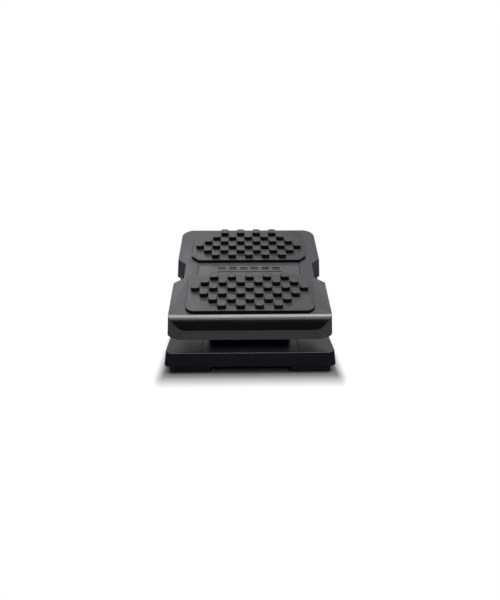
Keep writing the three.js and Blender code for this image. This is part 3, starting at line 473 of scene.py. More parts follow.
def two_looks(thing, main, other, chosen):
    """Gives a solid the material main, and the faces that chosen(face) picks the material other."""
    mesh = thing.data
    mesh.materials.clear()
    mesh.materials.append(MATERIALS[main])
    mesh.materials.append(MATERIALS[other])
    for face in mesh.polygons:
        face.material_index = int(chosen(face))
    return thing


def keep_node(node, slot, width):
    """Keeps a CAD node, with softened edges and its own finish."""
    thing = frame["nodes"][node]
    for holder in thing.material_slots:
        holder.link = "OBJECT"
        holder.material = MATERIALS[slot]
    bevel = thing.modifiers.new("edges", "BEVEL")
    bevel.width = width * MM
    bevel.segments = 2
    bevel.limit_method = "ANGLE"
    bevel.angle_limit = math.radians(40)


# ---- Treadle ----
TREADLE_TOP = 7.5
SKIRT_BOTTOM = -5.5
TREADLE_HALF_WIDTH = 44.9
REAR_NARROWING = 0.4
TREADLE_FRONT = -45.05
TREADLE_REAR = 46.8
FRONT_CORNER = (9.4, 5.4)
REAR_CORNER = 7.5
TREADLE_TAPER = (0.966, 0.978)
TREADLE_WALL = 2.4
RIDGE_Y = -39.0
BEVEL_END = (-44.5, 0.75)
BEVEL_CONTROL = (-42.76, 6.6)
NOTCH_DEPTH = 5.7
NOTCH_INNER = 7.2
NOTCH_OUTER = 11.9
BEVEL_STEPS = 18
TREADLE_EDGE = 0.32  # rounding of the treadle's outer edges


def bevel_point(t):
    """Point (y, z) of the front bevel, from its lower end at 0 to the ridge at 1."""
    ends = (BEVEL_END, BEVEL_CONTROL, (RIDGE_Y, TREADLE_TOP))
    weights = ((1 - t) ** 2, 2 * t * (1 - t), t**2)
    return tuple(sum(w * point[k] for w, point in zip(weights, ends)) for k in (0, 1))


def treadle_ring(z, front_limit, shrink=0.0):
    """The treadle's outline at one height, with its front corners cut off at front_limit."""
    rise = (z - SKIRT_BOTTOM) / (TREADLE_TOP - SKIRT_BOTTOM)
    share = [1 + (taper - 1) * rise for taper in TREADLE_TAPER]
    half = TREADLE_HALF_WIDTH * share[0] - shrink
    rear_half = half - REAR_NARROWING
    rear = TREADLE_REAR * share[1] - shrink
    front = TREADLE_FRONT * share[1] + shrink
    corner_x, corner_y = (axis - shrink for axis in FRONT_CORNER)
    rear_radius = REAR_CORNER - shrink
    grow = shrink * (math.sqrt(2) - 1)
    inner, outer = NOTCH_INNER + grow, NOTCH_OUTER + grow
    depth = NOTCH_DEPTH * share[0]
    limit = max(front, front_limit)
    end = math.asin(min(1.0, max(0.0, (front + corner_y - limit) / corner_y)))
    side_y = max(front + corner_y, limit)
    left = [(-rear_half, outer), (-half + depth, inner), (-half + depth, -inner), (-half, -outer)]
    left.append((-half, side_y))
    for angle in (end * i / 12 for i in range(1, 13)):
        left.append((-half + corner_x * (1 - math.cos(angle)), side_y - corner_y * math.sin(angle)))
    rear_left = arc((-rear_half + rear_radius, rear - rear_radius), rear_radius, QUARTER, math.pi, 12)
    half_ring = rear_left + left
    mirrored = [(-x, y) for x, y in reversed(half_ring)]
    return at_height(half_ring + mirrored, z)


def treadle_solid(shrink=0.0):
    """The treadle's outside or, with shrink, a cutter for its hollow that stays shrink inside it."""
    levels = [(SKIRT_BOTTOM - (2 if shrink else 0), -FAR), (BEVEL_END[1], -FAR)]
    for i in range(1, BEVEL_STEPS + 1):
        y, z = bevel_point(i / BEVEL_STEPS)
        levels.append((z, y))
    if not shrink:
        return loft([treadle_ring(z, y) for z, y in levels])
    ceiling = TREADLE_TOP - shrink
    kept = [(z, y + shrink) for z, y in levels if z < ceiling - 0.2]
    kept.append((ceiling, kept[-1][1] + 0.5))
    return loft([treadle_ring(z, y, shrink) for z, y in kept])


# Pads and their pockets, about the middle of the pattern
PATTERN_CENTRE = 1.0
PAD_HALF_WIDTH = 34.7
PAD_INNER = 7.3
PAD_OUTER = 39.8
PAD_CHAMFER = 4.3
PAD_CORNER = 5.0
PAD_PROUD = 2.0
PAD_POCKET = 0.9
PAD_GAP = 0.08
STUD_SIZE = 4.6
STUD_HEIGHT = 2.7
STUD_CORNER = 1.1
STUD_PITCH = 5.03
STUD_FIRST_ROW = 11.13
STUD_ROWS = (5, 6, 7, 6, 5, 4)
PLATE_SIZE = (60.2, 10.7)
PLATE_CENTRE = 0.4
PLATE_POCKET = 1.2
POCKET_LIP = 0.12
SLOT_COUNT = 6
SLOT_PITCH = 6.4
SLOT_SIZE = (SLOT_PITCH * 0.72, 3.1)
SLOT_DEPTH = 0.35
LINE_WIDTH = 0.8
LINE_DEPTH = 0.25


def pad_outline(end, shrink=0.0):
    half = PAD_HALF_WIDTH - shrink
    inner, outer = PAD_INNER + shrink, PAD_OUTER - shrink
    radius = PAD_CORNER - shrink
    corner = PAD_CHAMFER - shrink * (2 - math.sqrt(2))
    points = [(-half + corner, inner), (half - corner, inner), (half, inner + corner)]
    points += arc((half - radius, outer - radius), radius, 0, QUARTER, 12)
    points += arc((-half + radius, outer - radius), radius, QUARTER, math.pi, 12)
    points.append((-half, inner + corner))
    return [(end * x, PATTERN_CENTRE + end * y) for x, y in points]


def plate_outline(shrink=0.0):
    width, length = (side - 2 * shrink for side in PLATE_SIZE)
    return rounded_rectangle(width, length, max(1.0 - shrink, 0.3), (0, PLATE_CENTRE), 6)


def pocket(outline_of, depth):
    """A cutter for a pocket in the treadle's top face whose mouth has a small chamfer."""
    mouth = -POCKET_LIP - 0.05
    levels = [(-depth, 0), (-POCKET_LIP, 0), (0.05, mouth), (3, mouth)]
    return loft([at_height(outline_of(shrink), TREADLE_TOP + z) for z, shrink in levels])


AXLE_RADIUS = 2.5
AXLE_BOSS_RADIUS = 4.6
AXLE_BOSS_START = 25.4
CEILING = TREADLE_TOP - TREADLE_WALL
INTO_ROOF = CEILING + 0.5  # top of what is joined to the roof
NOTCH_FLOOR = TREADLE_HALF_WIDTH - NOTCH_DEPTH
BUMPER_X = 14.0
STOPS = ((-15.6, 2.4), (32.26, -3.75))  # y and lower end of the posts that meet the bumpers
STOP_RADIUS = 4
RIB_BOTTOM = 1.5
RIB_HALF = 0.8  # half of a rib's thickness
LONG_RIBS = (31, (-37.5, 42.6))  # x on each side, and their two ends
CROSS_RIBS = ((-30, 39.5), (-39.2, 39.2))  # their y, and their two ends


def treadle_ribs():
    """The parts under the treadle's top: axle bosses, ribs and stop posts."""
    parts = []
    for side in (-1, 1):
        near, far = sorted((side * AXLE_BOSS_START, side * (NOTCH_FLOOR - 1.5)))
        boss = moved(prism(circle(AXLE_BOSS_RADIUS), near, far), Z_TO_X)
        parts += [boss, block((near, far), (-AXLE_BOSS_RADIUS, AXLE_BOSS_RADIUS), (0, INTO_ROOF))]
        x, ends = side * LONG_RIBS[0], LONG_RIBS[1]
        parts.append(block((x - RIB_HALF, x + RIB_HALF), ends, (RIB_BOTTOM, INTO_ROOF)))
        for y, bottom in STOPS:
            profile = [(STOP_RADIUS - 0.4, bottom), (STOP_RADIUS, bottom + 0.4), (STOP_RADIUS, INTO_ROOF)]
            parts.append(shift(turned(profile), side * BUMPER_X, y))
    for y in CROSS_RIBS[0]:
        parts.append(block(CROSS_RIBS[1], (y - RIB_HALF, y + RIB_HALF), (RIB_BOTTOM, INTO_ROOF)))
    return parts


def treadle_housing():
    """The treadle's shell: hollow and ribbed below, with pockets on top and a countersunk axle hole."""
    outside = bevelled(treadle_solid(), TREADLE_EDGE, 4, 24)
    hollow = cut(outside, [treadle_solid(TREADLE_WALL)])
    body = join(hollow, treadle_ribs())
    axle_hole = moved(prism(circle(AXLE_RADIUS + 0.25), -FAR, FAR), Z_TO_X)
    sink_radius = AXLE_RADIUS + 0.8
    sink = [(AXLE_RADIUS + 0.2, NOTCH_FLOOR - 0.9), (sink_radius, NOTCH_FLOOR + 0.4), (sink_radius, 60)]
    countersinks = [moved(turned(sink), turn) for turn in (Z_TO_X, HALF_TURN @ Z_TO_X)]
    cutters = [pocket(lambda s, e=end: pad_outline(e, s), PAD_POCKET) for end in (-1, 1)]
    cutters.append(pocket(plate_outline, PLATE_POCKET))
    return cut(body, [axle_hole, *cutters, *countersinks])


def on_bevel(face):
    """Whether a face of the treadle belongs to its front bevel, between the two corners."""
    in_front = face.center.y < RIDGE_Y and BEVEL_END[1] < face.center.z < TREADLE_TOP
    return in_front and abs(face.normal.x) < 0.02 and face.normal.y < -0.1


def stud_outline(x, y, shrink):
    size = STUD_SIZE - 2 * shrink
    return rounded_rectangle(size, size, STUD_CORNER - 0.8 * shrink, (x, y), 4)


def pad(end):
    """A rubber mat with a rounded rim and rows of studs with rounded tops and flared feet."""
    low, face = TREADLE_TOP - PAD_POCKET + 0.05, TREADLE_TOP + PAD_PROUD
    mat = soft_prism(lambda s: pad_outline(end, s + PAD_GAP), low, face, 0, 0.18)
    studs = []
    flare = [(-0.6, -0.2), (0, -0.2), (0.05, -0.1), (0.15, -0.02), (0.3, 0)]
    flare += [(z, 0.03 + shrink) for z, shrink in fillet_levels(0.3, STUD_HEIGHT, 0, 0.22, 3)[1:]]
    for row, count in enumerate(STUD_ROWS):
        y = PATTERN_CENTRE + end * (STUD_FIRST_ROW + row * STUD_PITCH)
        for column in range(count):
            x = (column - (count - 1) / 2) * 2 * STUD_PITCH
            studs.append(loft([at_height(stud_outline(x, y, shrink), face + z) for z, shrink in flare]))
    return join(mat, studs)


def name_plate():
    """A satin plate with a plain row of slots over one long line."""
    low = TREADLE_TOP - PLATE_POCKET + 0.05
    face = TREADLE_TOP - 0.1
    plate = soft_prism(lambda s: plate_outline(s + 0.15), low, face, 0, 0.15, 2)
    slots = []
    for i in range(SLOT_COUNT):
        x = (i - (SLOT_COUNT - 1) / 2) * SLOT_PITCH
        outline = rounded_rectangle(*SLOT_SIZE, 0.9, (x, PLATE_CENTRE + 1.9), 5)
        slots.append(prism(outline, face - SLOT_DEPTH, face + 1))
    line = rounded_rectangle(SLOT_COUNT * SLOT_PITCH, LINE_WIDTH, 0.39, (0, PLATE_CENTRE - 1.3), 4)
    slots.append(prism(line, face - LINE_DEPTH, face + 1))

    def engraved(polygon):
        return polygon.normal.z > 0.9 and low + 0.2 < polygon.center.z < face - 0.2

    return two_looks(cut(plate, slots), "name_plate_plastic", "engraving", engraved)


def make_treadle():
    housing = two_looks(treadle_housing(), "treadle_plastic", "bevel", on_bevel)
    piece(housing, "treadle_housing", "treadle", "treadle_plastic", ["treadle_shell"], IN_TREADLE)
    for name, node, end in (("heel_mat", "heel_pad", -1), ("toe_mat", "toe_pad", 1)):
        piece(pad(end), name, "treadle", "pad_rubber", [node], IN_TREADLE)
    inlay = name_plate()
    piece(inlay, "name_inlay", "treadle", "name_plate_plastic", ["name_plate"], IN_TREADLE)


make_treadle()

# ---- Base ----
BASE_LOW, BASE_HIGH = box_mm("base_shell")
BASE_DRAFT = 1.0
BASE_CORNER = 3.8
BASE_WALL = 2.2
BASE_ROOF = 3.0
BASE_FILLET = 0.22
FLANGE = (52.0, 90.0)
FLANGE_THICKNESS = 1.4
SEAM = 0.2
CHANNEL_LIP = 0.15
WINDOW = ((-21, 21), (-19, 35))
SCREW_HOLE = 1.6
PAD_RADIUS = 6  # roof left standing round each pedestal screw
BOSS_RADIUS = 3
FOOT_CORNER = 2
FOOT_PEG = 2.5
FOOT_GROOVE = (2.5, 0.4)  # pitch and half width
CAVITY_TOP = BASE_HIGH.z - BASE_ROOF
BASE_SIZE = (BASE_HIGH.x - BASE_LOW.x, BASE_HIGH.y - BASE_LOW.y)
PLATE_LOW, PLATE_HIGH = box_mm("bottom_plate")
PEDESTAL_SCREWS = [f"pedestal_screw_{i}" for i in range(1, 5)]
PLATE_SCREWS = [f"bottom_plate_screw_{i}" for i in range(1, 7)]
FEET = [f"{end}_{side}_foot" for side in ("left", "right") for end in ("front", "rear")]


def middle(node):
    low, high = box_mm(node)
    return (low + high) / 2


def pillar(radius, node, z0, z1, sides=24):
    """An upright cylinder on the middle of a CAD node."""
    return prism(circle(radius, sides, middle(node).xy), z0, z1)


def base_ring(z, shrink=0.0):
    rise = (z - BASE_LOW.z) / (BASE_HIGH.z - BASE_LOW.z)
    width, length = (side - 2 * BASE_DRAFT * rise - 2 * shrink for side in BASE_SIZE)
    return at_height(rounded_rectangle(width, length, BASE_CORNER - shrink, steps=14), z)


def base_housing():
    """The base's shell, with the channel for the pedestal's flange and the window up into the pedestal."""
    levels = fillet_levels(BASE_LOW.z, BASE_HIGH.z, 0.2, BASE_FILLET, 5)
    outside = loft([base_ring(z, shrink) for z, shrink in levels])
    inside = [side - 2 * BASE_WALL for side in BASE_SIZE]
    cavity = prism(rounded_rectangle(*inside, BASE_CORNER - BASE_WALL), 0, CAVITY_TOP)
    floor = BASE_HIGH.z - FLANGE_THICKNESS - 0.1
    size = [side + 2 * SEAM for side in FLANGE]
    top = BASE_HIGH.z
    mouth = CHANNEL_LIP + 0.05
    levels = ((floor, 0), (top - CHANNEL_LIP, 0), (top + 0.05, mouth), (top + 4, mouth))
    channel = loft([
        at_height(rounded_rectangle(size[0] + 2 * grow, size[1] + 2 * grow, 1.5 + grow, steps=6), z)
        for z, grow in levels
    ])
    keepers = [pillar(PAD_RADIUS, node, -2, FAR / 2, 32) for node in PEDESTAL_SCREWS]
    window = cut(block(*WINDOW, (1, FAR / 4)), keepers)
    rise = (PLATE_HIGH.z + 0.1, CAVITY_TOP + 0.5)
    bosses = [pillar(BOSS_RADIUS, node, *rise, 32) for node in PLATE_SCREWS]
    holes = [pillar(SCREW_HOLE, node, 0, CAVITY_TOP) for node in PLATE_SCREWS]
    holes += [pillar(SCREW_HOLE, node, 0, FAR / 4) for node in PEDESTAL_SCREWS]
    shell = cut(outside, [cavity, channel, window])
    return cut(join(shell, bosses), holes)


def bottom_sheet():
    size = (PLATE_HIGH.x - PLATE_LOW.x, PLATE_HIGH.y - PLATE_LOW.y)
    outline = rectangle_of(size, BASE_CORNER - BASE_WALL)
    sheet = soft_prism(outline, PLATE_LOW.z, PLATE_HIGH.z, 0.25, 0.25, 2)
    holes = [pillar(SCREW_HOLE, node, 0, FAR / 4) for node in PLATE_SCREWS]
    holes += [pillar(FOOT_PEG + 0.3, node, 0, FAR / 4) for node in FEET]
    return cut(sheet, holes)


def foot(node):
    """A rubber foot with a grooved tread under it and a peg that plugs into the plate."""
    low, high = box_mm(node)
    centre = ((low.x + high.x) / 2, (low.y + high.y) / 2)
    size = (high.x - low.x, high.y - low.y)
    top = PLATE_LOW.z - 0.1
    body = soft_prism(rectangle_of(size, FOOT_CORNER, centre, 8), 0, top, 0.3, 0.15)
    proud = high.z - top
    profile = [(FOOT_PEG, 0), (FOOT_PEG, proud - 0.1), (FOOT_PEG - 0.4, proud + 0.5)]
    peg = shift(turned(profile, 32), *centre, top - 0.5)
    pitch, half = FOOT_GROOVE
    grooves = []
    for i in range(-3, 4):
        x = centre[0] + i * pitch
        grooves.append(block((x - half, x + half), (low.y + 2.4, high.y - 2.4), (-1, 0.5)))
    return cut(join(body, [peg]), grooves)


def cross_recess(depth):
    """A cross-shaped cutter that points down from z 0."""
    arm, width = 1.25, 0.32
    bars = []
    for turn in (0, QUARTER):
        rings = []
        for share, z in ((0.35, -depth), (1, 0), (1, 1)):
            x = arm * share
            rings.append(at_height([(-x, -width), (x, -width), (x, width), (-x, width)], z))
        bars.append(moved(loft(rings), Matrix.Rotation(turn, 4, "Z")))
    return join(bars[0], bars[1:])


def screw(shank_length, head_height, head_radius=2.7, shank_radius=1.3):
    """A pan-head screw with its head up and the seat of the head at z 0."""
    dome = [(head_radius * math.cos(a) ** 0.6, head_height * (0.45 + 0.55 * math.sin(a)))
            for a in (QUARTER * i / 7 for i in range(7))]
    pitch = 0.5
    turns = int(shank_length / pitch)
    thread = []
    for i in range(turns, 0, -1):
        z = -i * pitch
        thread += [(shank_radius, z), (shank_radius * 0.82, z + pitch / 2)]
    profile = [(shank_radius * 0.5, -shank_length - 0.1), *thread, (shank_radius, 0)]
    profile += [(head_radius - 0.15, 0), (head_radius, 0.15), *dome, (0.3, head_height)]
    return cut(turned(profile, 28), [shift(cross_recess(0.9), z=head_height)])


def make_screws():
    """Screws that hold the plate and the pedestal point up; those of the switch point along +X.

    height is that of a screw's head.
    """
    kinds = {"plate": (PLATE_SCREWS, 1.5), "pedestal": (PEDESTAL_SCREWS, 1.8)}
    for name, (nodes, height) in kinds.items():
        for i, node in enumerate(nodes, 1):
            low, high = box_mm(node)
            made = screw(high.z - low.z - height, height)
            centre = middle(node)
            flipped = moved(made, Matrix.Rotation(math.pi, 4, "X"))
            upright = shift(flipped, centre.x, centre.y, low.z + height)
            piece(upright, f"{name}_fastener_{i}", "base", "steel", [node])
    height = 1.4
    for i in (1, 2):
        node = f"switch_screw_{i}"
        low, high = box_mm(node)
        centre = middle(node)
        made = screw(high.x - low.x - height, height, 2.0, 1.1)
        place = Matrix.Translation((low.x + height, centre.y, centre.z)) @ Matrix.Rotation(-QUARTER, 4, "Y")
        piece(moved(made, place), f"switch_fastener_{i}", "base", "steel", [node])


def make_base():
    piece(base_housing(), "base_housing", "base", "base_plastic", ["base_shell"])
    piece(bottom_sheet(), "bottom_sheet", "base", "painted_steel", ["bottom_plate"])
    for node in FEET:
        piece(foot(node), f"{node}_rubber", "base", "foot_rubber", [node])
    make_screws()


make_base()

# ---- Pedestal ----
PEDESTAL_WIDTH = 48.0
PEDESTAL_FRONT = -22.0
PEDESTAL_REAR = 38.0
PEDESTAL_TOP = 32.0
PEDESTAL_WALL = 2.4
PEDESTAL_CORNER = 4.0
PIVOT_MM = PIVOT / MM
CHEEK_THICKNESS = 3.5
CHEEK_RADIUS = 4.8
CHEEK_FOOT = 10.0
BUSH_RADIUS = 3.7
BUSH_FLANGE = (4.6, 1.1)  # radius, and how far it stands out
TOE_POST = (4.6, 36.0)  # radius and top
SCREW_POST = (3.6, 26)
SCREW_POST_WEB = (1, 4.5)  # half thickness and length
SWITCH_RIB = ((3.3, 5.2), (1, 18.8), 12.8)  # x, y and lower edge of the wall that carries the switch
SPRING_SEAT = (3.8, 1.6)  # radius and height
FINGER_SLOT = (6, 11.8, 1, (0, 11.1))  # width, length, corner and centre
HEEL_BUMPERS = ("heel_bumper_left", "heel_bumper_right")
TOE_BUMPERS = ("toe_bumper_left", "toe_bumper_right")
FLANGE_BOTTOM = BASE_HIGH.z - FLANGE_THICKNESS
GLAND_PLACE = middle("cable_gland")
SELECTOR_PLACE = middle("polarity_switch_body")
GLAND_BORE = 3.0
GLAND_HOLE = 4.7


def tower_outline(shrink=0.0):
    centre = (0, (PEDESTAL_FRONT + PEDESTAL_REAR) / 2)
    width, length = PEDESTAL_WIDTH - 2 * shrink, PEDESTAL_REAR - PEDESTAL_FRONT - 2 * shrink
    return rounded_rectangle(width, length, max(PEDESTAL_CORNER - shrink, 0.4), centre, 12)


def cheek(side):
    """One ear of the pedestal, which holds a bush: straight flanks up to a round top about the pivot."""
    foot_z = PEDESTAL_TOP - 1
    rise = PIVOT_MM.z - foot_z
    reach = math.hypot(CHEEK_FOOT, rise)
    lean = math.acos(CHEEK_RADIUS / reach) - math.atan2(rise, CHEEK_FOOT)
    outline = [(PIVOT_MM.y - CHEEK_FOOT, foot_z), (PIVOT_MM.y + CHEEK_FOOT, foot_z)]
    outline += arc((PIVOT_MM.y, PIVOT_MM.z), CHEEK_RADIUS, lean, math.pi - lean, 24)
    near, far = sorted((side * (PEDESTAL_WIDTH / 2 - CHEEK_THICKNESS), side * PEDESTAL_WIDTH / 2))
    return loft([[(x, y, z) for y, z in outline] for x in (near, far)])


def pedestal_tower():
    """The pedestal: a hollow box on a flange, with cheeks for the bushes and posts for the toe bumpers."""
    flange = soft_prism(rectangle_of(FLANGE, 1.3, steps=6), FLANGE_BOTTOM, BASE_HIGH.z, 0, 0.2, 2)
    tower = soft_prism(tower_outline, FLANGE_BOTTOM, PEDESTAL_TOP, 0, 0.6)
    cove = ((-0.3, -0.6), (0, -0.6), (0.2, -0.2), (0.6, 0.05))
    skirting = loft([at_height(tower_outline(shrink), BASE_HIGH.z + z) for z, shrink in cove])
    foot_z = PEDESTAL_TOP - 1
    radius, top = TOE_POST
    post = [(radius, foot_z), (radius, top - 0.3), (radius - 0.3, top)]
    posts = [shift(turned(post), *middle(node).xy) for node in TOE_BUMPERS]
    body = join(flange, [tower, skirting, *posts])
    body = cut(body, [prism(tower_outline(PEDESTAL_WALL), 0, PEDESTAL_TOP - PEDESTAL_WALL)])
    radius, top = SCREW_POST
    half, length = SCREW_POST_WEB
    screw_posts = [pillar(radius, node, FLANGE_BOTTOM, top, 32) for node in PEDESTAL_SCREWS]
    for node in PEDESTAL_SCREWS:
        x, y = middle(node).xy
        reach = sorted((x, x + math.copysign(length, x)))
        screw_posts.append(block(reach, (y - half, y + half), (FLANGE_BOTTOM, top)))
    switch_rib = block(*SWITCH_RIB[:2], (SWITCH_RIB[2], foot_z))
    radius, height = SPRING_SEAT
    top = PEDESTAL_TOP + height
    seat = [(radius, foot_z), (radius, top - 0.4), (radius - 0.4, top)]
    spring_seat = shift(turned(seat), *middle("return_spring").xy)
    body = join(body, [cheek(-1), cheek(1), *screw_posts, switch_rib, spring_seat])
    bush_hole = moved(prism(circle(BUSH_RADIUS + 0.05), -FAR, FAR), Z_TO_X)
    bush_hole = shift(bush_hole, 0, PIVOT_MM.y, PIVOT_MM.z)
    finger_slot = prism(rounded_rectangle(*FINGER_SLOT, 5), PEDESTAL_TOP - 4, FAR / 4)
    stems = [pillar(2.2, node, 28, FAR / 4) for node in HEEL_BUMPERS + TOE_BUMPERS]
    screws = [pillar(SCREW_HOLE, node, 0, 22) for node in PEDESTAL_SCREWS]
    for node in ("switch_screw_1", "switch_screw_2"):
        screws.append(shift(moved(prism(circle(1.4, 24), 2, 8), Z_TO_X), 0, *middle(node).yz))
    gland_hole = moved(prism(circle(GLAND_HOLE, 40), 30, 50), Z_TO_Y)
    gland_hole = shift(gland_hole, GLAND_PLACE.x, 0, GLAND_PLACE.z)
    slot = shift(block((-2.8, 2.8), (30, 50), (-1.3, 1.3)), SELECTOR_PLACE.x, 0, SELECTOR_PLACE.z)
    return cut(body, [bush_hole, finger_slot, gland_hole, slot, *stems, *screws])


def bush(side):
    """A flanged nylon bush in one cheek."""
    inner, outer = AXLE_RADIUS + 0.06, BUSH_RADIUS
    radius, proud = BUSH_FLANGE
    near, far = PEDESTAL_WIDTH / 2 - CHEEK_THICKNESS, PEDESTAL_WIDTH / 2
    sleeve = [(inner, near + 0.2), (inner + 0.2, near), (outer - 0.3, near), (outer, near + 0.3)]
    flange = [(outer, far + 0.1), (radius - 0.15, far + 0.1), (radius, far + 0.25)]
    flange += [(radius, far + proud - 0.15), (radius - 0.15, far + proud)]
    mouth = [(inner + 0.2, far + proud), (inner, far + proud - 0.2)]
    ring = moved(turned_ring(sleeve + flange + mouth), Z_TO_X)
    if side < 0:
        ring = moved(ring, HALF_TURN)
    return shift(ring, 0, PIVOT_MM.y, PIVOT_MM.z)


def bumper(node):
    """A domed rubber stop on a ribbed stem."""
    low, high = box_mm(node)
    radius = (high.x - low.x) / 2
    head, dome = 2.4, 5.0
    seat = high.z - head
    stem = [(1.5, low.z), (1.9, low.z + 0.5)]
    stem += [(1.9, seat - 2.6), (2.05, seat - 2.3), (1.8, seat - 2.0), (1.8, seat)]
    heights = [head * i / 10 for i in range(10)]
    rise = [(math.sqrt(dome**2 - (dome - head + height) ** 2), seat + height) for height in heights]
    profile = [*stem, (radius - 0.2, seat), *rise, (0.3, high.z)]
    return shift(turned(profile, 40), *middle(node).xy)


SPRING_WIRE = 1.2
SPRING_TURNS = 6
CLOSED_TURNS = 0.9  # at each end
STEPS_PER_TURN = 36


def spring():
    """A compression spring with closed end turns."""
    low, high = box_mm("return_spring")
    wire = SPRING_WIRE
    radius = (high.x - low.x - wire) / 2
    centre = middle("return_spring")
    flat = CLOSED_TURNS / SPRING_TURNS
    steps = SPRING_TURNS * STEPS_PER_TURN
    points = []
    for i in range(steps + 1):
        t = i / steps
        climb = min(max((t - flat) / (1 - 2 * flat), 0), 1)
        wind = wire * (min(t / flat, 1) + max((t - 1 + flat) / flat, 0))
        z = low.z + wire / 2 + wind + (high.z - low.z - 3 * wire) * climb
        angle = TURN * SPRING_TURNS * t
        x, y = centre.x + radius * math.cos(angle), centre.y + radius * math.sin(angle)
        points.append(Vector((x, y, z)))
    return tube(points, wire / 2)


def make_pedestal():
    piece(pedestal_tower(), "pedestal_tower", "base", "base_plastic", ["pedestal"])
    for name, side in (("left", -1), ("right", 1)):
        piece(bush(side), f"{name}_bearing", "base", "nylon", [f"{name}_bush"])
    for node in HEEL_BUMPERS + TOE_BUMPERS:
        piece(bumper(node), f"{node}_dome", "base", "foot_rubber", [node])


def make_spring():
    made = moved(spring(), IN_ROW)
    shade(made.data, 60)
    made.name = "coil_spring"
    made.data.materials.append(MATERIALS["steel"])
    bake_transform(made)
    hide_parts("return_spring")


make_pedestal()
make_spring()


# ---- Pivot, actuator and spring cup ----
AXLE_HEAD = 3.9
AXLE_GROOVE = 1.9  # radius at the bottom of the clip's groove
CLIP_RADII = (2.9, 3.9)
CUP_PLACE = (0, 27.5, 3.4)
CUP_TILT = math.radians(-13.8)
CUP_RADII = (6.2, 7.3)
CUP_HEIGHT = 12
SPIGOT = 3.6  # radius of the stub inside the spring


def axle_pin():
    """A headed pin with chamfered ends and a groove for its clip."""
    reach = NOTCH_FLOOR
    head = [(AXLE_HEAD - 0.6, -1.6), (AXLE_HEAD, -1.2), (AXLE_HEAD, -0.35), (AXLE_HEAD - 0.15, -0.2)]
    head.append((AXLE_RADIUS, -0.2))
    groove = [(AXLE_RADIUS, 0.3), (AXLE_GROOVE, 0.3), (AXLE_GROOVE, 1.1), (AXLE_RADIUS, 1.1)]
    tip = [(AXLE_RADIUS, 1.4), (2.1, 1.8)]
    left_end = [(radius, z - reach) for radius, z in head]
    right_end = [(radius, z + reach) for radius, z in groove + tip]
    return moved(turned(left_end + right_end), Z_TO_X)


def clip():
    """An E-shaped retaining clip: an open ring with three inward teeth."""
    near, far = NOTCH_FLOOR + 0.4, NOTCH_FLOOR + 1.0
    ring = prism(circle(CLIP_RADII[1], 60), near, far)
    hole = prism(circle(CLIP_RADII[0], 48), 0, FAR)
    opened = cut(ring, [hole, block((-FAR, 0), (-1.5, 1.5), (0, FAR))])
    teeth = []
    for angle in (0, 2.1, -2.1):
        tooth = block((2.05, 3.2), (-0.7, 0.7), (near, far))
        teeth.append(moved(tooth, Matrix.Rotation(angle, 4, "Z")))
    return moved(join(opened, teeth), Z_TO_X)


def cup():
    """The nylon cup round the spring's upper end."""
    tilt = Matrix.Translation(CUP_PLACE) @ Matrix.Rotation(CUP_TILT, 4, "X")
    inner, outer = CUP_RADII
    lip = [(inner, 0), (inner, -1.3), (inner + 0.2, -1.6), (outer - 0.2, -1.6), (outer, -1.4)]
    barrel = turned_ring([*lip, (outer, CUP_HEIGHT), (3, CUP_HEIGHT), (3, 0.6)])
    fill = turned([(SPIGOT - 0.4, -1.6), (SPIGOT, -1.3), (SPIGOT, 0.2), (SPIGOT, CUP_HEIGHT - 0.1)])
    disc = turned([(outer - 0.4, 0), (outer - 0.4, CUP_HEIGHT - 0.2)])
    upright = moved(join(barrel, [fill, disc]), tilt)
    return cut(upright, [block((-FAR, FAR), (-FAR, FAR), (CEILING - 0.3, FAR))])


def make_pivot():
    piece(axle_pin(), "pivot_pin", "treadle", "steel", ["axle"], IN_TREADLE, "black_steel")
    piece(clip(), "retaining_clip", "treadle", "steel", ["axle_clip"], IN_TREADLE, "black_steel")
    piece(cup(), "spring_seat", "treadle", "nylon", ["spring_cup"], IN_TREADLE)
    keep_node("actuator", "nylon", 0.25)
    for i in (1, 2):
        keep_node(f"actuator_screw_{i}", "steel", 0.15)


make_pivot()


# ---- Switch, selector, wires and gland ----
GLAND_THREAD = 4.4
GLAND_COLLAR = 6
GLAND_NOSE = 5
GLAND_NUT = 6.6
WIRE_RADIUS = 0.6


def gland():
    """The cord gland: a flanged collar with a ribbed, tapering nose and a round bore."""
    low, high = box_mm("cable_gland")
    wall = PEDESTAL_REAR + 0.1
    thread = [(GLAND_BORE, low.y), (GLAND_THREAD - 0.2, low.y), (GLAND_THREAD, low.y + 0.2)]
    thread.append((GLAND_THREAD, wall))
    rim = GLAND_COLLAR - 0.2
    collar = [(rim, wall), (GLAND_COLLAR, wall + 0.2), (GLAND_COLLAR, wall + 1.4), (rim, wall + 1.6)]
    ribs = []
    for radius, start in ((5.5, 1.6), (5.3, 2.2), (5.2, 2.8)):
        ribs += [(radius, wall + start), (radius, wall + start + 0.5)]
    nose = [(GLAND_NOSE, wall + 3.5), (GLAND_NOSE, high.y - 0.2), (GLAND_NOSE - 0.2, high.y)]
    mouth = [(GLAND_BORE + 0.3, high.y), (GLAND_BORE, high.y - 0.3)]
    profile = thread + collar + ribs + nose + mouth
    ring = moved(turned_ring(profile), Z_TO_Y)
    return shift(ring, GLAND_PLACE.x, 0, GLAND_PLACE.z)


def gland_nut():
    """A six-sided nut, chamfered on its inner face."""
    low, high = box_mm("cable_gland_nut")
    nut = prism(circle(GLAND_NUT, 6), low.y, high.y)
    start, end = low.y - 0.1, low.y + 0.8
    chamfer = turned_ring([(GLAND_NUT - 0.7, start), (GLAND_NUT + 0.3, end), (9, end), (9, start)])
    made = cut(nut, [chamfer, prism(circle(GLAND_HOLE, 40), 0, FAR)])
    return shift(moved(made, Z_TO_Y), GLAND_PLACE.x, 0, GLAND_PLACE.z)


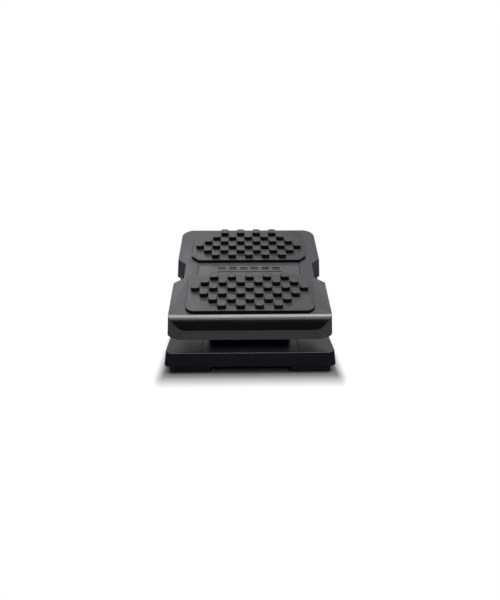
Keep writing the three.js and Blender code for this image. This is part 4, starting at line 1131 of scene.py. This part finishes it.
def slider_knob():
    """The selector's slider: a ribbed thumb piece on a flat carrier."""
    low, high = box_mm("polarity_slider")
    wall = box_mm("polarity_switch_body")[1].y
    carrier = block((low.x, high.x), (low.y, wall - 1.6), (low.z, high.z))
    x0, x1 = low.x + 0.4, high.x - 0.4
    thumb = block((x0, x1), (wall - 2, high.y), (low.z, high.z))
    middles = [x0 + along for along in (0.45, 0.9, 1.35)]
    grooves = [block((x - 0.12, x + 0.12), (high.y - 0.35, FAR), (-FAR, FAR)) for x in middles]
    return bevelled(cut(join(carrier, [thumb]), grooves), 0.06, 2)


def wire(terminal, pin, lane_x, lane_y):
    """A wire from the side of a switch terminal to a selector pin, along the route of its CAD tube."""
    bottom = box_mm("switch_body")[0].z
    start, end = middle(terminal), middle(pin)
    rest = bottom - 2.6
    points = [
        (-1.6 - 2 * WIRE_RADIUS, start.y, bottom - 2.2),
        (lane_x, start.y + 2.2, rest),
        (lane_x, lane_y - 4.5, rest),
        (lane_x + 3, lane_y - 0.8, rest + 1),
        (end.x - 2.6, lane_y, 13),
        (end.x, lane_y + 1.4, 17),
        (end.x, box_mm(pin)[0].y - 0.1 - WIRE_RADIUS, end.z),
    ]
    return tube(path_points(points, 8), WIRE_RADIUS)


def make_electrics():
    piece(gland(), "cord_gland", "base", "foot_rubber", ["cable_gland"])
    piece(gland_nut(), "gland_nut", "base", "nylon", ["cable_gland_nut"])
    piece(slider_knob(), "selector_knob", "polarity_slider", "switch_plastic", ["polarity_slider"])
    open_wire = wire("switch_terminal_normally_open", "polarity_terminal_normally_open", -5.4, 25)
    piece(open_wire, "red_lead", "base", "red_wire", ["wire_normally_open"])
    closed_wire = wire("switch_terminal_normally_closed", "polarity_terminal_normally_closed", -3.2, 22.6)
    piece(closed_wire, "white_lead", "base", "white_wire", ["wire_normally_closed"])
    keep_node("switch_body", "switch_plastic", 0.3)
    keep_node("switch_button", "red_plastic", 0.2)
    keep_node("switch_lever", "steel", 0.1)
    keep_node("polarity_switch_body", "steel", 0.2)
    for name in ("common", "normally_open", "normally_closed"):
        keep_node(f"switch_terminal_{name}", "brass", 0.1)
    for name in ("normally_open", "output", "normally_closed"):
        keep_node(f"polarity_terminal_{name}", "brass", 0.08)


make_electrics()

# ---- Camera, light and floor ----
CAMERA_PLACE = (-4.07 * MM, -276.26 * MM, 123.51 * MM)
CAMERA_DOWN = math.radians(19.47)
CAMERA_TURN = math.radians(0.96)
LENS = 28.77
LIGHTS = (  # name, place, height it faces, size and watts
    ("overhead", (0.12, -0.33, 0.94), 0.02, (0.9, 0.62), 12),
    ("front", (0.05, -0.76, 0.64), 0.02, (0.8, 0.34), 1.3),
    ("behind", (-0.33, 0.33, 1.0), 0.03, (1.0, 0.5), 5.2),
    ("backdrop", (0, 1.9, 0.7), 0.02, (3.0, 0.8), 5),
    ("left", (-0.9, 0.25, 0.3), 0.02, (0.5, 0.4), 0.5),
    ("right", (0.9, 0.25, 0.3), 0.02, (0.5, 0.4), 0.5),
)
FLOOR_SIZE = (3000, 12)  # radius and thickness, mm
# the paper near the object, kept darker than the glow as a painted shadow
FLOOR_ALBEDO = 0.2
SHADOW_REACH = (0.001, 0.0135)  # painted shadow: distances past the base over which the dark paper fades into the glow
SHADOW_NARROWING = 2.6  # how much shorter the painted shadow is at the sides


def make_camera():
    data = bpy.data.cameras.new("camera")
    data.sensor_width = 36
    data.lens = LENS
    data.clip_start = 0.01
    camera = bpy.data.objects.new("camera", data)
    camera.location = CAMERA_PLACE
    camera.rotation_euler = (QUARTER - CAMERA_DOWN, 0, -CAMERA_TURN)
    bpy.context.collection.objects.link(camera)
    bpy.context.scene.camera = camera


def area_light(name, place, aim_z, size, power):
    """A rectangular light that faces the object's middle and is not seen itself."""
    data = bpy.data.lights.new(name, "AREA")
    data.shape = "RECTANGLE"
    data.size, data.size_y = size
    data.energy = power
    light = bpy.data.objects.new(name, data)
    light.location = place
    light.visible_camera = False
    light.rotation_euler = (Vector((0, 0, aim_z)) - Vector(place)).to_track_quat("-Z", "Y").to_euler()
    bpy.context.collection.objects.link(light)


def ray_mix(tree, ray, plain, special):
    """plain for most rays, and special for one kind of ray, named as on the Light Path node."""
    path = tree.nodes.new("ShaderNodeLightPath")
    mixer = tree.nodes.new("ShaderNodeMixShader")
    tree.links.new(path.outputs[ray], mixer.inputs["Fac"])
    tree.links.new(plain, mixer.inputs[1])
    tree.links.new(special, mixer.inputs[2])
    return mixer.outputs["Shader"]


def flat_shader(tree, kind, value):
    """A shader node of one grey."""
    shader = tree.nodes.new(kind)
    shader.inputs["Color"].default_value = (value, value, value, 1)
    return shader.outputs[0]


def floor_material():
    """White paper, painted darker close to the object as a painted shadow, where the lamps' own shadow also
    falls. It glows further out, and reflects as dark.
    """
    n = Nodes("floor_paper")
    tree = n.tree
    parts = n.add("ShaderNodeSeparateXYZ")
    n.link(n.place, parts.inputs[0])
    past = []
    for axis, half, stretch in (("X", BASE_SIZE[0] / 2, SHADOW_NARROWING), ("Y", BASE_SIZE[1] / 2, 1)):
        from_middle = n.maths("ABSOLUTE", parts.outputs[axis], 0)
        outside = n.maths("MAXIMUM", n.maths("SUBTRACT", from_middle, half * MM), 0)
        past.append(n.maths("MULTIPLY", outside, stretch))
    squares = [n.maths("MULTIPLY", reach, reach) for reach in past]
    distance = n.maths("SQRT", n.maths("ADD", *squares), 0)
    # painted shadow: near the base the darker paper shows, further out the white glow
    far = n.spread(distance, *SHADOW_REACH)
    grain = n.spread(n.noise(900, 2), 0.3, 0.7, FLOOR_ALBEDO - 0.005, FLOOR_ALBEDO + 0.005)
    paper = n.add("ShaderNodeBsdfDiffuse")
    n.link(grain, paper.inputs["Color"])
    glow = n.add("ShaderNodeMixShader")
    n.link(far, glow.inputs["Fac"])
    n.link(paper.outputs[0], glow.inputs[1])
    n.link(flat_shader(tree, "ShaderNodeEmission", 1.0), glow.inputs[2])
    dark = flat_shader(tree, "ShaderNodeBsdfDiffuse", 0.03)
    surface = ray_mix(tree, "Is Glossy Ray", glow.outputs["Shader"], dark)
    n.link(surface, tree.nodes["Material Output"].inputs["Surface"])
    return n.material


def make_stage():
    scene = bpy.context.scene
    scene.view_settings.view_transform = "Standard"
    world = bpy.data.worlds.new("studio")
    scene.world = world
    world.use_nodes = True
    tree = world.node_tree
    white = flat_shader(tree, "ShaderNodeBackground", 1.0)
    dim = flat_shader(tree, "ShaderNodeBackground", 0.04)
    surface = ray_mix(tree, "Is Camera Ray", dim, white)
    tree.links.new(surface, tree.nodes["World Output"].inputs["Surface"])
    radius, thickness = FLOOR_SIZE
    floor = loft([at_height(circle(radius, 96), z) for z in (-thickness, -0.02)])
    moved(floor, IN_ROW)
    floor.name = "floor"
    floor.data.materials.append(floor_material())
    for light in LIGHTS:
        area_light(*light)


make_camera()
make_stage()
